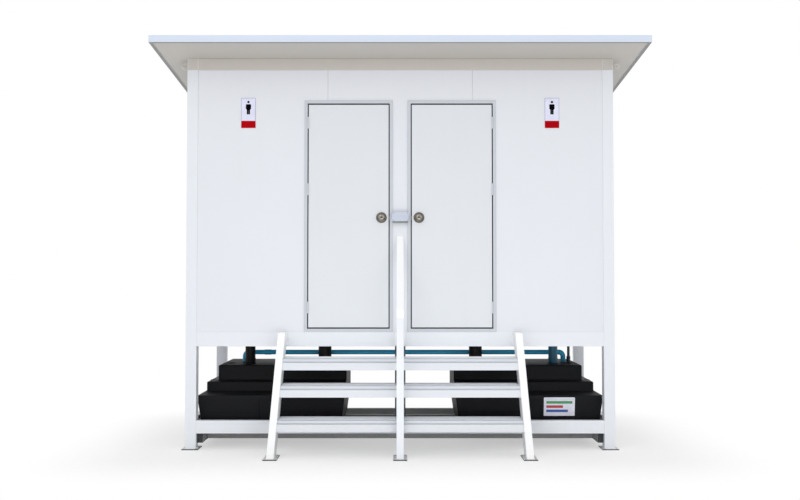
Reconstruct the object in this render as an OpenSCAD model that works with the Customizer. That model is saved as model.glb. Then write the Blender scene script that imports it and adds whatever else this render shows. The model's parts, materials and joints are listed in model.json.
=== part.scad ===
/* [Cabin] */
// Width over the corner posts
cabin_w = 3740; // [3400:10:4200]
// Depth over the corner posts
cabin_d = 1500; // [1400:10:1800]
// Height of the top of the floor beams above the ground
floor_z = 1018; // [980:1:1100]
// Height of the front wall's top above the ground
wall_top = 3415; // [3380:5:3700]
// Thickness of the insulated wall panels
panel_t = 50; // [40:5:60]
// Distance that the panels lie behind the face of the posts
panel_in = 5; // [2:1:15]
// Distance from the middle to the front wall's panel joints
joint_x = 635; // [500:5:800]

/* [Roof] */
// Overhang of the roof at each side
roof_side = 229; // [205:1:500]
// Pitch of the roof in degrees, falling to the back
roof_pitch = 5.35; // [3:0.05:7]
// Thickness of the roof panel
roof_t = 50; // [40:5:60]
// Overhang of the roof in front
roof_front = 372; // [200:1:450]
// Overhang of the roof at the back
roof_back = 200; // [100:5:300]
// Height of the trim round the roof's edge
fascia_h = 59; // [56:1:80]
// Thickness of the trim's sheet
fascia_t = 3; // [2:0.5:4]

/* [Steel frame] */
// Width of the square posts
post_w = 95; // [80:1:110]
// Wall thickness of the steel tubes
tube_t = 4; // [3:0.5:6]
// Height of the bottom rails
rail_h = 112; // [90:1:125]
// Height of the bottom rails' underside above the ground
rail_z = 138; // [120:1:160]
// Height of the floor beams
beam_h = 125; // [100:1:140]
// Thickness of rails and beams from front to back
beam_t = 50; // [40:1:60]
// Height of the ring beam under the roof
ring_h = 100; // [80:1:120]
// Height of the floor joists
joist_h = 56; // [40:1:80]
// Height of the dark under-frame's underside above the ground
under_z = 50; // [30:1:70]
// Height of the dark under-frame
under_h = 115; // [100:1:120]
// Distance of its first cross length behind the cabin's face
cross_front = 285; // [200:5:400]
// Distance of its second cross length behind the cabin's face
cross_mid = 950; // [850:5:1000]
// Distance from the middle to the inner floor joists
joist_in = 460; // [400:5:600]
// Distance from the middle to the outer floor joists
joist_out = 1160; // [1000:5:1250]
// Thickness of the floor deck
deck_t = 18; // [12:1:24]

/* [Foot plates and lugs] */
// Width of a post's foot plate
foot_w = 142; // [140:1:150]
// Depth of a post's foot plate
foot_d = 180; // [170:1:200]
// Thickness of all the foot plates
foot_t = 8; // [6:1:16]
// Radius of a lifting lug
lug_r = 30; // [28:1:34]
// Radius of a lifting lug's hole
lug_hole = 11; // [8:0.5:12]
// Height of the front lugs' holes above the ground
lug_z = 3354; // [3200:2:3360]
// Thickness of a lifting lug
lug_t = 15; // [10:1:20]
// Distance of the lugs behind the posts' outer faces
lug_in = 40; // [30:1:60]
// Gap between a lug's round and its post
lug_gap = 6; // [4:1:8]
// Distance that a post's plate stands out in front of its post
foot_out = 35; // [32:1:40]
// Diameter of the anchor holes
anchor_d = 14; // [10:1:16]
// Distance between the anchor holes across the plate
anchor_x = 100; // [90:1:108]
// Distance from an anchor hole's middle to the plate's edge
anchor_edge = 18; // [16:1:20]
// Width of a stair's foot plate
step_foot_w = 114; // [110:1:130]
// Depth of a stair's foot plate
step_foot_d = 230; // [220:1:260]
// Distance between the anchor holes across a stair's plate
step_anchor_x = 84; // [70:1:90]

/* [Doors] */
// Width of a door leaf
door_w = 700; // [600:5:760]
// Height of a door leaf
door_h = 1950; // [1800:5:2000]
// Thickness of a door leaf
door_t = 40; // [35:1:45]
// Distance from the middle to each door's middle
door_x = 452; // [430:1:480]
// Width of the frame's face
frame_face = 28; // [24:1:40]
// Distance that the frame stands out from the posts' face
frame_out = 3; // [1:1:6]
// Gap beside a door leaf
gap_side = 10; // [9:0.5:12]
// Gap over and under a door leaf
gap_end = 12; // [8:1:14]
// Overlap of the door stop behind the leaf
stop_lap = 8; // [6:1:12]
// Thickness of the door stop
stop_t = 14; // [10:1:18]
// Height of the bottom hinge's middle above the floor beams
hinge_low = 213; // [180:1:300]
// Height of the middle hinge's middle above the floor beams
hinge_mid = 1246; // [900:1:1400]
// Height of the top hinge's middle above the floor beams
hinge_top = 1831; // [1600:1:1860]
// Length of a hinge
hinge_len = 100; // [80:5:120]
// Radius of a hinge's knuckle
knuckle_r = 6.5; // [6:0.1:7]
// Radius of a hinge pin
pin_r = 3; // [2.5:0.1:3.5]
// Radial clearance round a hinge pin
pin_gap = 0.05; // [0.02:0.01:0.1]
// Thickness of the hinge plates
leaf_t = 3; // [2:0.5:3.5]

/* [Locks] */
// Height of the knobs above the floor beams
knob_at = 998; // [900:1:1100]
// Distance from a leaf's edge to the knob's middle
backset = 62; // [58:1:70]
// Radius of a knob's rose
rose_r = 42; // [34:1:45]
// Radius of a knob
knob_r = 27; // [24:1:30]
// Radius of the spindle
spindle_r = 10; // [8:1:12]
// Radius of a latch bolt
bolt_r = 6; // [5:0.5:7]
// Travel of a latch bolt
latch_throw = 16; // [14:1:18]
// Running clearance of the lock's moving pieces
run_gap = 0.4; // [0.3:0.05:0.6]

/* [Switch box and signs] */
// Width of the switch box
box_w = 144; // [132:1:160]
// Height of the switch box
box_h = 79; // [60:1:100]
// Depth of the switch box without its cover
box_d = 36; // [25:1:50]
// Height of the switch box's middle above the floor beams
box_at = 1004; // [900:1:1100]
// Width of a sign
sign_w = 137; // [120:1:150]
// Height of a sign
sign_h = 265; // [240:1:300]
// Thickness of a sign
sign_t = 3; // [2:0.5:4]
// Distance from the middle to a sign's middle
sign_x = 1328; // [1250:1:1400]
// Height of a sign's lower edge above the floor beams
sign_at = 1782; // [1650:1:1850]

/* [Stairs] */
// Distance from the middle to a side stringer's inner face at the top
stair_half = 982; // [900:2:1050]
// Angle by which the side stringers spread towards the ground
splay = 3.1; // [0:0.1:4]
// Distance of the stringers' front from the cabin at the ground
stair_run = 480; // [440:5:560]
// Depth of a side stringer measured level
stringer_d = 180; // [150:5:200]
// Width of stringers, newel and handrail
stringer_w = 60; // [50:1:70]
// Thickness of a stringer's sheet
stringer_t = 5; // [4:0.5:8]
// Height of the bottom tread's top above the ground
tread_low = 310; // [280:1:330]
// Height of the middle tread's top above the ground
tread_mid = 586; // [540:1:600]
// Height of the top tread's top above the ground
tread_top = 807; // [780:1:830]
// Depth of a tread
tread_d = 220; // [180:5:240]
// Height of a tread's nosing
tread_h = 100; // [90:1:110]
// Distance that a tread lies behind the stringers' front
tread_in = 6; // [3:1:20]
// Height of the newel's front corner
newel_h = 1212; // [1100:2:1300]
// Rise of the handrail from newel to wall
hand_rise = 632; // [500:2:700]
// Thickness of the handrail measured upright
hand_t = 56; // [40:1:65]

/* [Tanks] */
// Distance from the middle to a tank's inner side
tank_in = 490; // [460:2:520]
// Distance from the middle to a tank's outer side
tank_out = 1770; // [1740:2:1772]
// Distance of a tank's front from the cabin's face
tank_y = 60; // [58:1:90]
// Depth of a tank
tank_d = 1060; // [900:10:1150]
// Height of the tank's first tier above the ground
tank_low = 454; // [420:1:480]
// Height of the tank's second tier above the ground
tank_mid = 548; // [520:1:580]
// Height of the tank's third tier above the ground
tank_high = 691; // [650:1:710]
// Distance that the second tier lies behind the front
mid_front = 245; // [220:1:270]
// Distance that the third tier lies behind the front
high_front = 340; // [320:1:380]
// Distance that the second tier lies inside the outer side
mid_side = 38; // [30:1:50]
// Distance that the third tier lies inside the outer side
high_side = 124; // [100:1:130]
// Distance from the middle to the groove in a tank's front
groove_x = 1228; // [1150:1:1300]
// Width of the groove in a tank's front
groove_w = 18; // [12:1:30]
// Draft of the tank's lower walls
tank_draft = 30; // [15:1:40]
// Wall thickness of the tanks
tank_t = 12; // [10:1:20]

/* [Pipes] */
// Radius of the soil pipes
soil_r = 63; // [55:1:70]
// Distance from the middle to a soil pipe
soil_x = 710; // [660:2:760]
// Radius of the floor drain pipes
drain_r = 43; // [38:1:50]
// Distance from the middle to a drain pipe
drain_x = 1428; // [1400:2:1450]
// Distance of both from the cabin's face
pipe_y = 700; // [650:5:760]
// Radius of the link pipe between the tanks
link_r = 18; // [12:0.5:20]
// Distance of the link pipe behind the other pipes
link_back = 150; // [130:5:180]
// Height of the link pipe above the tanks
link_up = 84; // [75:1:95]
// Distance from the middle to the link pipe's left end
link_left = 1490; // [1460:5:1530]
// Distance from the middle to the link pipe's right end
link_right = 1565; // [1540:1:1570]
// Distance from the middle to the water pipe
water_x = 1608; // [1600:1:1620]
// Distance of the water pipe behind the other pipes
water_back = 110; // [90:5:130]
// Radius of the water pipe
water_r = 13; // [10:0.5:16]
// Wall thickness of the plastic pipes
pipe_t = 4; // [3:0.5:6]

/* [Squat pans] */
// Width of a pan
pan_w = 420; // [400:5:440]
// Depth of a pan
pan_d = 540; // [500:5:560]
// Height of a pan above the deck
pan_h = 110; // [100:5:130]
// Radius of a pan's corners
pan_r = 60; // [40:5:80]
// Width of the bowl
bowl_w = 160; // [140:5:180]
// Length of the bowl
bowl_d = 350; // [330:5:380]
// Radius of the bowl's corners
bowl_r = 60; // [50:5:65]
// Height of the bowl's floor above the deck
bowl_floor = 45; // [40:1:50]
// Distance of the bowl's middle in front of the outlet
bowl_front = 25; // [20:1:30]
// Radius of the outlet
outlet_r = 38; // [35:1:42]
// Width of a foot rest
rest_w = 90; // [80:5:100]
// Length of a foot rest
rest_d = 270; // [250:5:280]
// Distance of the foot rests' middle in front of the outlet
rest_front = 30; // [20:1:40]
// Distance of a foot rest inside the pan's edge
rest_in = 10; // [8:1:14]
// Height of a foot rest above the pan
rest_h = 12; // [8:1:16]

/* [Hidden] */
$fn = 48;
eps = 0.01;
seat_gap = 0.1;
mirror_x = [-1, 1];
roof_w = cabin_w + 2 * roof_side;
cross_at = [cross_front, cross_mid, cabin_d - post_w];
hinge_at = [hinge_low, hinge_mid, hinge_top];
tread_at = [tread_low, tread_mid, tread_top];
tank_top = [tank_low, tank_mid, tank_high];
tier_front = [mid_front, high_front];
tier_side = [mid_side, high_side];
box_z = floor_z + box_at;
sign_z = floor_z + sign_at;
total_y = stair_run + foot_out + 5;
front_y = (total_y - cabin_d - roof_back) / 2;
half_w = cabin_w / 2;
post_in = half_w - post_w;
beam_z = floor_z - beam_h;
fall = tan(roof_pitch);
frame_w = door_w + 2 * gap_side + 2 * frame_face;
frame_h = door_h + 2 * gap_end + 2 * frame_face;
leaf_z = floor_z + frame_face + gap_end;
hinge_x = door_w / 2 + gap_side / 2;
hinge_y = -frame_out - knuckle_r + 0.5;
knob_x = door_w / 2 - backset;
knob_z = floor_z + knob_at;
panel_back = panel_in + panel_t;
deck_top = floor_z + deck_t;
slant = (stair_run - stringer_d) / (floor_z - foot_t);
hand_slope = hand_rise / stair_run;
under_top = under_z + under_h;
link_y = pipe_y + link_back;
link_z = tank_top[2] + link_up;
bend_r = 40;
step_foot_out = 40;
plate_shift = 2;

// Height of the roof's underside at a distance y behind the cabin's face
function under(y) = wall_top - fall * y;
// Level distance of the side stringers' front from the cabin at height z
function stair_front(z) = stair_run - slant * (z - foot_t);
// Distance from the middle to a side stringer's inner face at height z
function stair_edge(z) = stair_half + (floor_z - z) * tan(splay);

// Moves a piece from the cabin's own face to the part's frame
module place() translate([0, front_y, 0]) children();

// Box between two corners
module block(a, b) translate(a) cube(b - a);

// Outline in y and z, carried along x from x by t
module side_shape(x, t, points)
  translate([x, 0, 0]) rotate([90, 0, 90]) linear_extrude(t) polygon(points);

// Upright cylinder
module pole(x, y, z0, z1, r) translate([x, y, z0]) cylinder(r = r, h = z1 - z0);

// Square or oblong tube along x, open at its ends
module tube_x(a, b, t = tube_t) difference() {
  block(a, b);
  block(a + [-1, t, t], b + [1, -t, -t]);
}

// Square or oblong tube along y, open at its ends
module tube_y(a, b, t = tube_t) difference() {
  block(a, b);
  block(a + [t, -1, t], b + [-t, 1, -t]);
}

// Square upright tube
module tube_z(a, b, t = tube_t) difference() {
  block(a, b);
  block(a + [t, t, -1], b + [-t, -t, 1]);
}

// Corner post, its top cut to the roof's pitch
module corner_post(s, y) color("whitesmoke") place() difference() {
  side_shape(s > 0 ? post_in : -half_w, post_w,
    [[y, foot_t], [y + post_w, foot_t], [y + post_w, under(y + post_w)], [y, under(y)]]);
  block([s > 0 ? post_in + tube_t : -half_w + tube_t, y + tube_t, 0],
    [s > 0 ? half_w - tube_t : -post_in - tube_t, y + post_w - tube_t, wall_top + 1]);
}

// One foot plate with four anchor holes, its front edge at y
module foot_plate(x, y, w, d, hole_x) translate([x, y, 0]) difference() {
  block([-w / 2, 0, 0], [w / 2, d, foot_t]);
  for (sx = mirror_x, hy = [anchor_edge, d - anchor_edge])
    translate([sx * hole_x / 2, hy, -1]) cylinder(d = anchor_d, h = foot_t + 2);
}

module post_foot_plates() color("gainsboro") place() {
  for (s = mirror_x, y = [-foot_out, cabin_d + foot_out - foot_d])
    foot_plate(s * (half_w - post_w / 2), y, foot_w, foot_d, anchor_x);
}

// Round lugs on the posts' outer sides, for lifting the cabin
module lifting_lugs() color("whitesmoke") place()
  for (s = mirror_x, y = [[lug_in, lug_z], [cabin_d - lug_in - lug_t, lug_z - fall * cabin_d]])
  difference() {
    union() {
      translate([s * (half_w + lug_r + lug_gap), y[0], y[1]]) rotate([-90, 0, 0])
        cylinder(r = lug_r, h = lug_t);
      block([min(s * half_w, s * (half_w + lug_r)), y[0], y[1] - lug_r],
        [max(s * half_w, s * (half_w + lug_r)), y[0] + lug_t, y[1]]);
    }
    translate([s * (half_w + lug_r + lug_gap), y[0] - 1, y[1]]) rotate([-90, 0, 0])
      cylinder(r = lug_hole, h = lug_t + 2);
  }

// Rails between the posts' feet, at the front and on both sides
module bottom_rails() color("whitesmoke") place() {
  tube_x([-post_in, 0, rail_z], [post_in, beam_t, rail_z + rail_h]);
  for (x = [-half_w, half_w - beam_t])
    tube_y([x, post_w, rail_z], [x + beam_t, cabin_d - post_w, rail_z + rail_h]);
}

// Dark frame that carries the tanks: a length beside each side's posts and three across
module under_frame() color("dimgray") place() {
  for (x = [-post_in, post_in - beam_t])
    tube_y([x, beam_t, under_z], [x + beam_t, cabin_d, under_top]);
  for (y = cross_at)
    tube_x([beam_t - post_in, y, under_z], [post_in - beam_t, y + beam_t, under_top]);
}

// Leg in the middle, from the first cross length to the middle joist
module centre_leg() color("dimgray") place()
  tube_z([-post_w / 2, cross_at[0], under_top],
    [post_w / 2, cross_at[0] + beam_t, floor_z - joist_h]);

// Beams round the floor
module floor_beams() color("whitesmoke") place() {
  for (y = [0, cabin_d - beam_t])
    tube_x([-post_in, y, beam_z], [post_in, y + beam_t, floor_z]);
  for (x = [-half_w, half_w - beam_t])
    tube_y([x, post_w, beam_z], [x + beam_t, cabin_d - post_w, floor_z]);
}

// Joists that carry the deck from the front beam to the back one
module floor_joists() color("gainsboro") place() {
  for (x = [-joist_out, -joist_in, 0, joist_in, joist_out])
    tube_y([x - beam_t / 2, beam_t, floor_z - joist_h],
      [x + beam_t / 2, cabin_d - beam_t, floor_z]);
}

// Deck with a hole for each soil pipe and floor drain
module floor_deck() color("silver") place() difference() {
  block([-half_w + panel_back, panel_back, floor_z],
    [half_w - panel_back, cabin_d - panel_back, deck_top]);
  for (s = mirror_x) {
    pole(s * soil_x, pipe_y, floor_z - 1, deck_top + 1, soil_r - pipe_t - 2);
    pole(s * drain_x, pipe_y, floor_z - 1, deck_top + 1, drain_r - pipe_t);
    for (y = [0, cabin_d - post_w])
      block([s > 0 ? post_in : -half_w, y, floor_z - 1],
        [s > 0 ? half_w : -post_in, y + post_w, deck_top + 1]);
  }
}

// Slotted grates over the floor drains
module floor_drains() color("silver") place() for (s = mirror_x)
  translate([s * drain_x, pipe_y, deck_top]) difference() {
    cylinder(r = drain_r + 12, h = 3);
    for (i = [-2 : 2]) translate([-drain_r * 0.6, i * 12 - 3, -1]) cube([drain_r * 1.2, 6, 5]);
  }

// Ring beam that carries the roof, its top cut to the pitch
module roof_ring() color("whitesmoke") place() {
  for (y = [0, cabin_d - beam_t])
    difference() {
      side_shape(-post_in, 2 * post_in, [[y, under(y) - ring_h], [y + beam_t, under(y) - ring_h],
        [y + beam_t, under(y + beam_t)], [y, under(y)]]);
      block([-post_in - 1, y + tube_t, under(y) - ring_h + tube_t],
        [post_in + 1, y + beam_t - tube_t, under(y + beam_t) - tube_t]);
    }
  for (x = [-half_w, half_w - beam_t]) difference() {
    side_shape(x, beam_t, roof_strip(post_w, cabin_d - post_w, -ring_h, 0));
    side_shape(x + tube_t, beam_t - 2 * tube_t,
      roof_strip(post_w - 1, cabin_d - post_w + 1, tube_t - ring_h, -tube_t));
  }
}

// Room that a door frame takes in the front wall
module frame_hole(s) block(
  [s * door_x - frame_w / 2, -10, floor_z - 1],
  [s * door_x + frame_w / 2, panel_back + 10, floor_z + frame_h]);

// Front panel beside a door, notched over the frame
module panel_front(s) color("aliceblue") place() difference() {
  block([s > 0 ? joint_x + 1 : -post_in, panel_in, floor_z],
    [s > 0 ? post_in : -joint_x - 1, panel_back, wall_top - ring_h]);
  frame_hole(s);
}

// Middle panel over both doors, with the pier between them
module panel_front_centre() color("aliceblue") place() difference() {
  block([-joint_x + 1, panel_in, floor_z], [joint_x - 1, panel_back, wall_top - ring_h]);
  for (s = mirror_x) frame_hole(s);
}

// Back wall in three panels
module panels_rear() color("aliceblue") place() {
  third = 2 * post_in / 3;
  for (i = [0 : 2])
    block([-post_in + i * third + 1, cabin_d - panel_back, floor_z],
      [-post_in + (i + 1) * third - 1, cabin_d - panel_in,
        under(cabin_d - beam_t) - ring_h]);
}

// Side wall, its top cut to the pitch
module panel_side(x) color("aliceblue") place()
  side_shape(x, panel_t, [[post_w, floor_z], [cabin_d - post_w, floor_z],
    [cabin_d - post_w, under(cabin_d - post_w) - ring_h],
    [post_w, under(post_w) - ring_h]]);

// Wall between the two rooms
module partition() color("white") place()
  side_shape(-panel_t / 2, panel_t, [[panel_back, deck_top],
    [cabin_d - panel_back, deck_top], [cabin_d - panel_back, under(cabin_d - panel_back)],
    [panel_back, under(panel_back)]]);

// Flat roof panel, laid on a thin seal over the ring beam
module roof_panel() color("gainsboro") place() translate([0, 0, seat_gap])
  side_shape(fascia_t - roof_w / 2, roof_w - 2 * fascia_t,
    roof_strip(fascia_t - roof_front, cabin_d + roof_back - fascia_t, 0, roof_t));
// Sloping strip from y0 to y1, between heights a and b over the roof's underside
function roof_strip(y0, y1, a, b) = [[y0, under(y0) + a], [y1, under(y1) + a],
  [y1, under(y1) + b], [y0, under(y0) + b]];

// Folded trim round the roof's edge, with a lip over and under the panel
module roof_fascia() color("lightsteelblue") place() translate([0, 0, seat_gap]) {
  lip = 30;
  drop = (fascia_h - roof_t) / 2;
  y0 = -roof_front;
  y1 = cabin_d + roof_back;
  difference() {
    side_shape(-roof_w / 2, roof_w, roof_strip(y0, y1, -drop, fascia_h - drop));
    side_shape(fascia_t - roof_w / 2, roof_w - 2 * fascia_t,
      roof_strip(y0 + fascia_t, y1 - fascia_t, 0, roof_t));
    side_shape(lip - roof_w / 2, roof_w - 2 * lip,
      roof_strip(y0 + lip, y1 - lip, -drop - 1, fascia_h - drop + 1));
  }
}

// Door frame of four mitred lengths with a stop behind the leaf
module door_frame(s) color("lightgray") place() translate([s * door_x, 0, floor_z]) {
  y0 = -frame_out;
  y1 = panel_back;
  stop_y = door_t + 1;
  inner = frame_w / 2 - frame_face;
  difference() {
    block([-frame_w / 2, y0, 0], [frame_w / 2, y1, frame_h]);
    block([-inner, y0 - 1, frame_face], [inner, stop_y, frame_h - frame_face]);
    block([-door_w / 2 + stop_lap, y0 - 1, frame_face + gap_end + stop_lap],
      [door_w / 2 - stop_lap, y1 + 1, frame_h - frame_face - gap_end - stop_lap]);
    block([-inner - 1, stop_y + stop_t, frame_face],
      [inner + 1, y1 + 1, frame_h - frame_face]);
    strike_hole(s);
  }
}
// Notch in the frame for the latch bolt, open to the front
module strike_hole(s) {
  depth = latch_throw - gap_side + 3;
  x = -s * (door_w / 2 + gap_side);
  block([min(x, x - s * depth), -frame_out - 1, knob_at - bolt_r - 4],
    [max(x, x - s * depth), door_t / 2 + bolt_r + 3, knob_at + bolt_r + 4]);
}

// Flush leaf with a bore for the spindle and a pocket for the bolt
module door_leaf(s) color("aliceblue") place() translate([s * door_x, 0, 0]) difference() {
  block([-door_w / 2, 0, leaf_z], [door_w / 2, door_t, leaf_z + door_h]);
  translate([-s * knob_x, -1, knob_z]) rotate([-90, 0, 0])
    cylinder(r = spindle_r + run_gap, h = door_t + 2);
  translate([-s * door_w / 2, door_t / 2, knob_z]) rotate([0, s * 90, 0])
    translate([0, 0, -1]) cylinder(r = bolt_r + run_gap, h = backset - spindle_r - 8);
}

// Segment of a hinge's knuckle
module knuckle(z0, z1) difference() {
  pole(0, 0, z0, z1, knuckle_r);
  pole(0, 0, z0 - 1, z1 + 1, pin_r + pin_gap);
}

// Frame's half of the hinges: a plate on the jamb and the outer knuckles
module frame_hinges(s) color("silver") hinges(s) {
  third = hinge_len / 3;
  x0 = -gap_side / 2;
  plate_y = knuckle_r + 0.3;
  block([x0, plate_y, 0], [x0 + leaf_t, door_t - 6, hinge_len]);
  for (z = [0, 2 * third + 0.3]) {
    knuckle(z, z + third - 0.3);
    difference() {
      block([x0, 0, z], [x0 + leaf_t, plate_y + eps, z + third - 0.3]);
      pole(0, 0, z - 1, z + third + 1, pin_r + 1);
    }
  }
}

// Door's half of the hinges: a plate on the leaf's edge and the middle knuckle
module leaf_hinges(s) color("silver") hinges(s) {
  third = hinge_len / 3;
  x1 = gap_side / 2;
  plate_y = knuckle_r + 0.3;
  block([x1 - leaf_t, plate_y, 0], [x1, door_t - 6, hinge_len]);
  knuckle(third + 0.3, 2 * third - 0.3);
  difference() {
    block([x1 - leaf_t, 0, third + 0.3], [x1, plate_y + eps, 2 * third - 0.3]);
    pole(0, 0, third, 2 * third, pin_r + 1);
  }
}

// Pins with a head at the top
module hinge_pins(s) color("gray") hinges(s) {
  pole(0, 0, -2, hinge_len + 1, pin_r);
  pole(0, 0, hinge_len, hinge_len + 3, knuckle_r - 1);
}

// Sets a hinge made about its pin on each height of one door
module hinges(s) place()
  for (z = hinge_at) translate([s * (door_x + hinge_x), hinge_y, floor_z + z - hinge_len / 2])
    mirror([s > 0 ? 1 : 0, 0, 0]) children();

// Turned shape about the spindle, given as outline of radius and distance from the door
module on_spindle(s, flip) place()
  translate([s * (door_x - knob_x), flip > 0 ? 0 : door_t, knob_z])
    rotate([flip > 0 ? 90 : -90, 0, 0]) children();

module knob_roses(s) color("silver") for (flip = mirror_x) on_spindle(s, flip)
  rotate_extrude($fn = 64) polygon([[spindle_r + run_gap, 0], [rose_r, 0], [rose_r, 3],
    [rose_r - 4, 8], [rose_r - 12, 12], [knob_r - 6, 14], [spindle_r + run_gap, 14]]);

// Both knobs and their spindle turn as one
module knob(s) color("silver") {
  for (flip = mirror_x) on_spindle(s, flip) rotate_extrude($fn = 64)
    polygon([[0, 14.4], [spindle_r + 3, 14.4], [spindle_r + 4, 24], [knob_r - 8, 30],
      [knob_r - 1, 38], [knob_r, 46], [knob_r - 3, 55], [knob_r - 9, 60], [11, 62],
      [10, 59], [0, 59]]);
  on_spindle(s, 1) translate([0, 0, -door_t - 15]) cylinder(r = spindle_r, h = door_t + 30);
}

// Round bolt with a bevelled nose that faces the closing side
module latch_bolt(s) color("silver") place() translate([s * (door_x - door_w / 2), door_t / 2, knob_z])
  rotate([0, -s * 90, 0]) difference() {
    translate([0, 0, latch_throw - 32]) cylinder(r = bolt_r, h = 32);
    translate([0, bolt_r, latch_throw + 2]) rotate([45, 0, 0]) cube(10, center = true);
  }

// Surface box between the doors, its back on both door frames
module switch_box() color("lightsteelblue") place() translate([0, -frame_out, box_z]) difference() {
  block([-box_w / 2, -box_d, -box_h / 2], [box_w / 2, 0, box_h / 2]);
  block([-box_w / 2 + 4, -box_d - 1, -box_h / 2 + 4], [box_w / 2 - 4, -4, box_h / 2 - 4]);
}
module switch_box_cover() color("lightsteelblue") place()
  translate([0, -frame_out - box_d, box_z]) {
    block([-box_w / 2, -6, -box_h / 2], [box_w / 2, 0, box_h / 2]);
    for (x = mirror_x, z = mirror_x) translate([x * (box_w / 2 - 10), -5.9, z * (box_h / 2 - 9)])
      rotate([90, 0, 0]) cylinder(r = 3.5, h = 1.5);
  }

// Door sign: a plain plate on the wall
module sign(s) color("white") place()
  block([s * sign_x - sign_w / 2, panel_in - sign_t, sign_z],
    [s * sign_x + sign_w / 2, panel_in, sign_z + sign_h]);

// Slanting outline of a stringer from front distance a to back distance b
function slanted(a, b) = [
  [-stair_run + a, foot_t - 20], [-stair_run + b, foot_t - 20],
  [-stair_run + b + slant * (floor_z - foot_t + 40), floor_z + 20],
  [-stair_run + a + slant * (floor_z - foot_t + 40), floor_z + 20]];

// Channel stringer, web inside, spread outwards towards the ground
module stringer(s) place() intersection() {
  translate([s * stair_half, 0, floor_z]) rotate([0, -s * splay, 0])
    translate([0, slant * -20, -floor_z]) {
      web = s > 0 ? 0 : -stringer_t;
      side = s > 0 ? 0 : -stringer_w;
      side_shape(web, stringer_t, slanted(0, stringer_d));
      side_shape(side, stringer_w, slanted(0, stringer_t));
      side_shape(side, stringer_w, slanted(stringer_d - stringer_t, stringer_d));
    }
  block([-half_w, -2 * stair_run, foot_t], [half_w, 0, floor_z]);
}
module stringer_side(s) color("white") {
  stringer(s);
  place() end_plate(s * (stair_half + stringer_w / 2), stringer_w);
}
// Plate on a stringer's upper end, flat on the floor beam
module end_plate(x, w) block([x - w / 2, -stringer_t, beam_z + 10], [x + w / 2, 0, floor_z - 2]);

// Box stringer under the handrail
module stringer_middle() color("white") place() {
  intersection() {
    translate([0, slant * -20, 0]) difference() {
      side_shape(-stringer_w / 2, stringer_w, slanted(stringer_w, stringer_d));
      side_shape(-stringer_w / 2 + stringer_t, stringer_w - 2 * stringer_t,
        slanted(stringer_w + stringer_t, stringer_d - stringer_t));
    }
    block([-stringer_w, -2 * stair_run, foot_t], [stringer_w, 0, floor_z]);
  }
  end_plate(0, stringer_w + 30);
}

// Ribbed tread: a top with a turned-down nosing that has two grooves
module tread(s, z) {
  f = -stair_front(z) + tread_in;
  x0 = s > 0 ? stringer_w / 2 : -stair_edge(z) - 20;
  side_shape(x0, stair_edge(z) + 20 - stringer_w / 2, [
    [f, z], [f, z - 6], [f + 5, z - 7], [f + 5, z - 12], [f, z - 13], [f, z - 28],
    [f + 5, z - 29], [f + 5, z - 37], [f, z - 38], [f, z - tread_h],
    [f + 30, z - tread_h], [f + 30, z - tread_h + 4], [f + 9, z - tread_h + 4],
    [f + 9, z - 5], [f + tread_d - 4, z - 5], [f + tread_d - 4, z - 50],
    [f + tread_d, z - 50], [f + tread_d, z]]);
}
module treads(s) color("gainsboro") place() intersection() {
  union() for (z = tread_at) tread(s, z);
  translate([s * stair_half, 0, floor_z]) rotate([0, -s * splay, 0])
    block([s > 0 ? -cabin_w : 0, -2 * stair_run, -floor_z], [s > 0 ? 0 : cabin_w, 0, 0]);
}

module stair_foot_plates() color("gainsboro") place() {
  for (x = [-1, 0, 1])
    foot_plate(x * (stair_edge(0) + stringer_w / 2 - plate_shift), -stair_run - step_foot_out,
      step_foot_w, step_foot_d, step_anchor_x);
}

// Upright that carries the handrail's lower end
module newel_post() color("white") place() difference() {
  side_shape(-stringer_w / 2, stringer_w, [[-stair_run, foot_t], [-stair_run + stringer_w, foot_t],
    [-stair_run + stringer_w, newel_h - hand_t + hand_slope * stringer_w],
    [-stair_run, newel_h - hand_t]]);
  block([-stringer_w / 2 + tube_t, -stair_run + tube_t, 0],
    [stringer_w / 2 - tube_t, -stair_run + stringer_w - tube_t, newel_h]);
}

// Sloping handrail with a plate on the wall
module handrail() color("white") place() {
  y1 = panel_in - 5;
  side_shape(-stringer_w / 2, stringer_w, [[-stair_run, newel_h - hand_t],
    [y1, newel_h - hand_t + hand_slope * (stair_run + y1)],
    [y1, newel_h + hand_slope * (stair_run + y1)], [-stair_run, newel_h]]);
  top = newel_h + hand_slope * (stair_run + y1);
  block([-stringer_w / 2, y1, top - 100], [stringer_w / 2, panel_in, top + 10]);
}

// Moulded tier with rounded corners: its foot drawn in by d, its top edge softened
module tier(a, b, z0, z1, d) {
  r = 25;
  hull() for (p = [[z0, d], [z1 - r, 0], [z1 - 8, 7], [z1 - 1, r - 4]])
    translate([0, 0, p[0]]) linear_extrude(1) offset(r = r, $fn = 20)
      translate([a[0] + r + p[1], a[1] + r + p[1]])
        square([b[0] - a[0] - 2 * (r + p[1]), b[1] - a[1] - 2 * (r + p[1])]);
}

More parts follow.
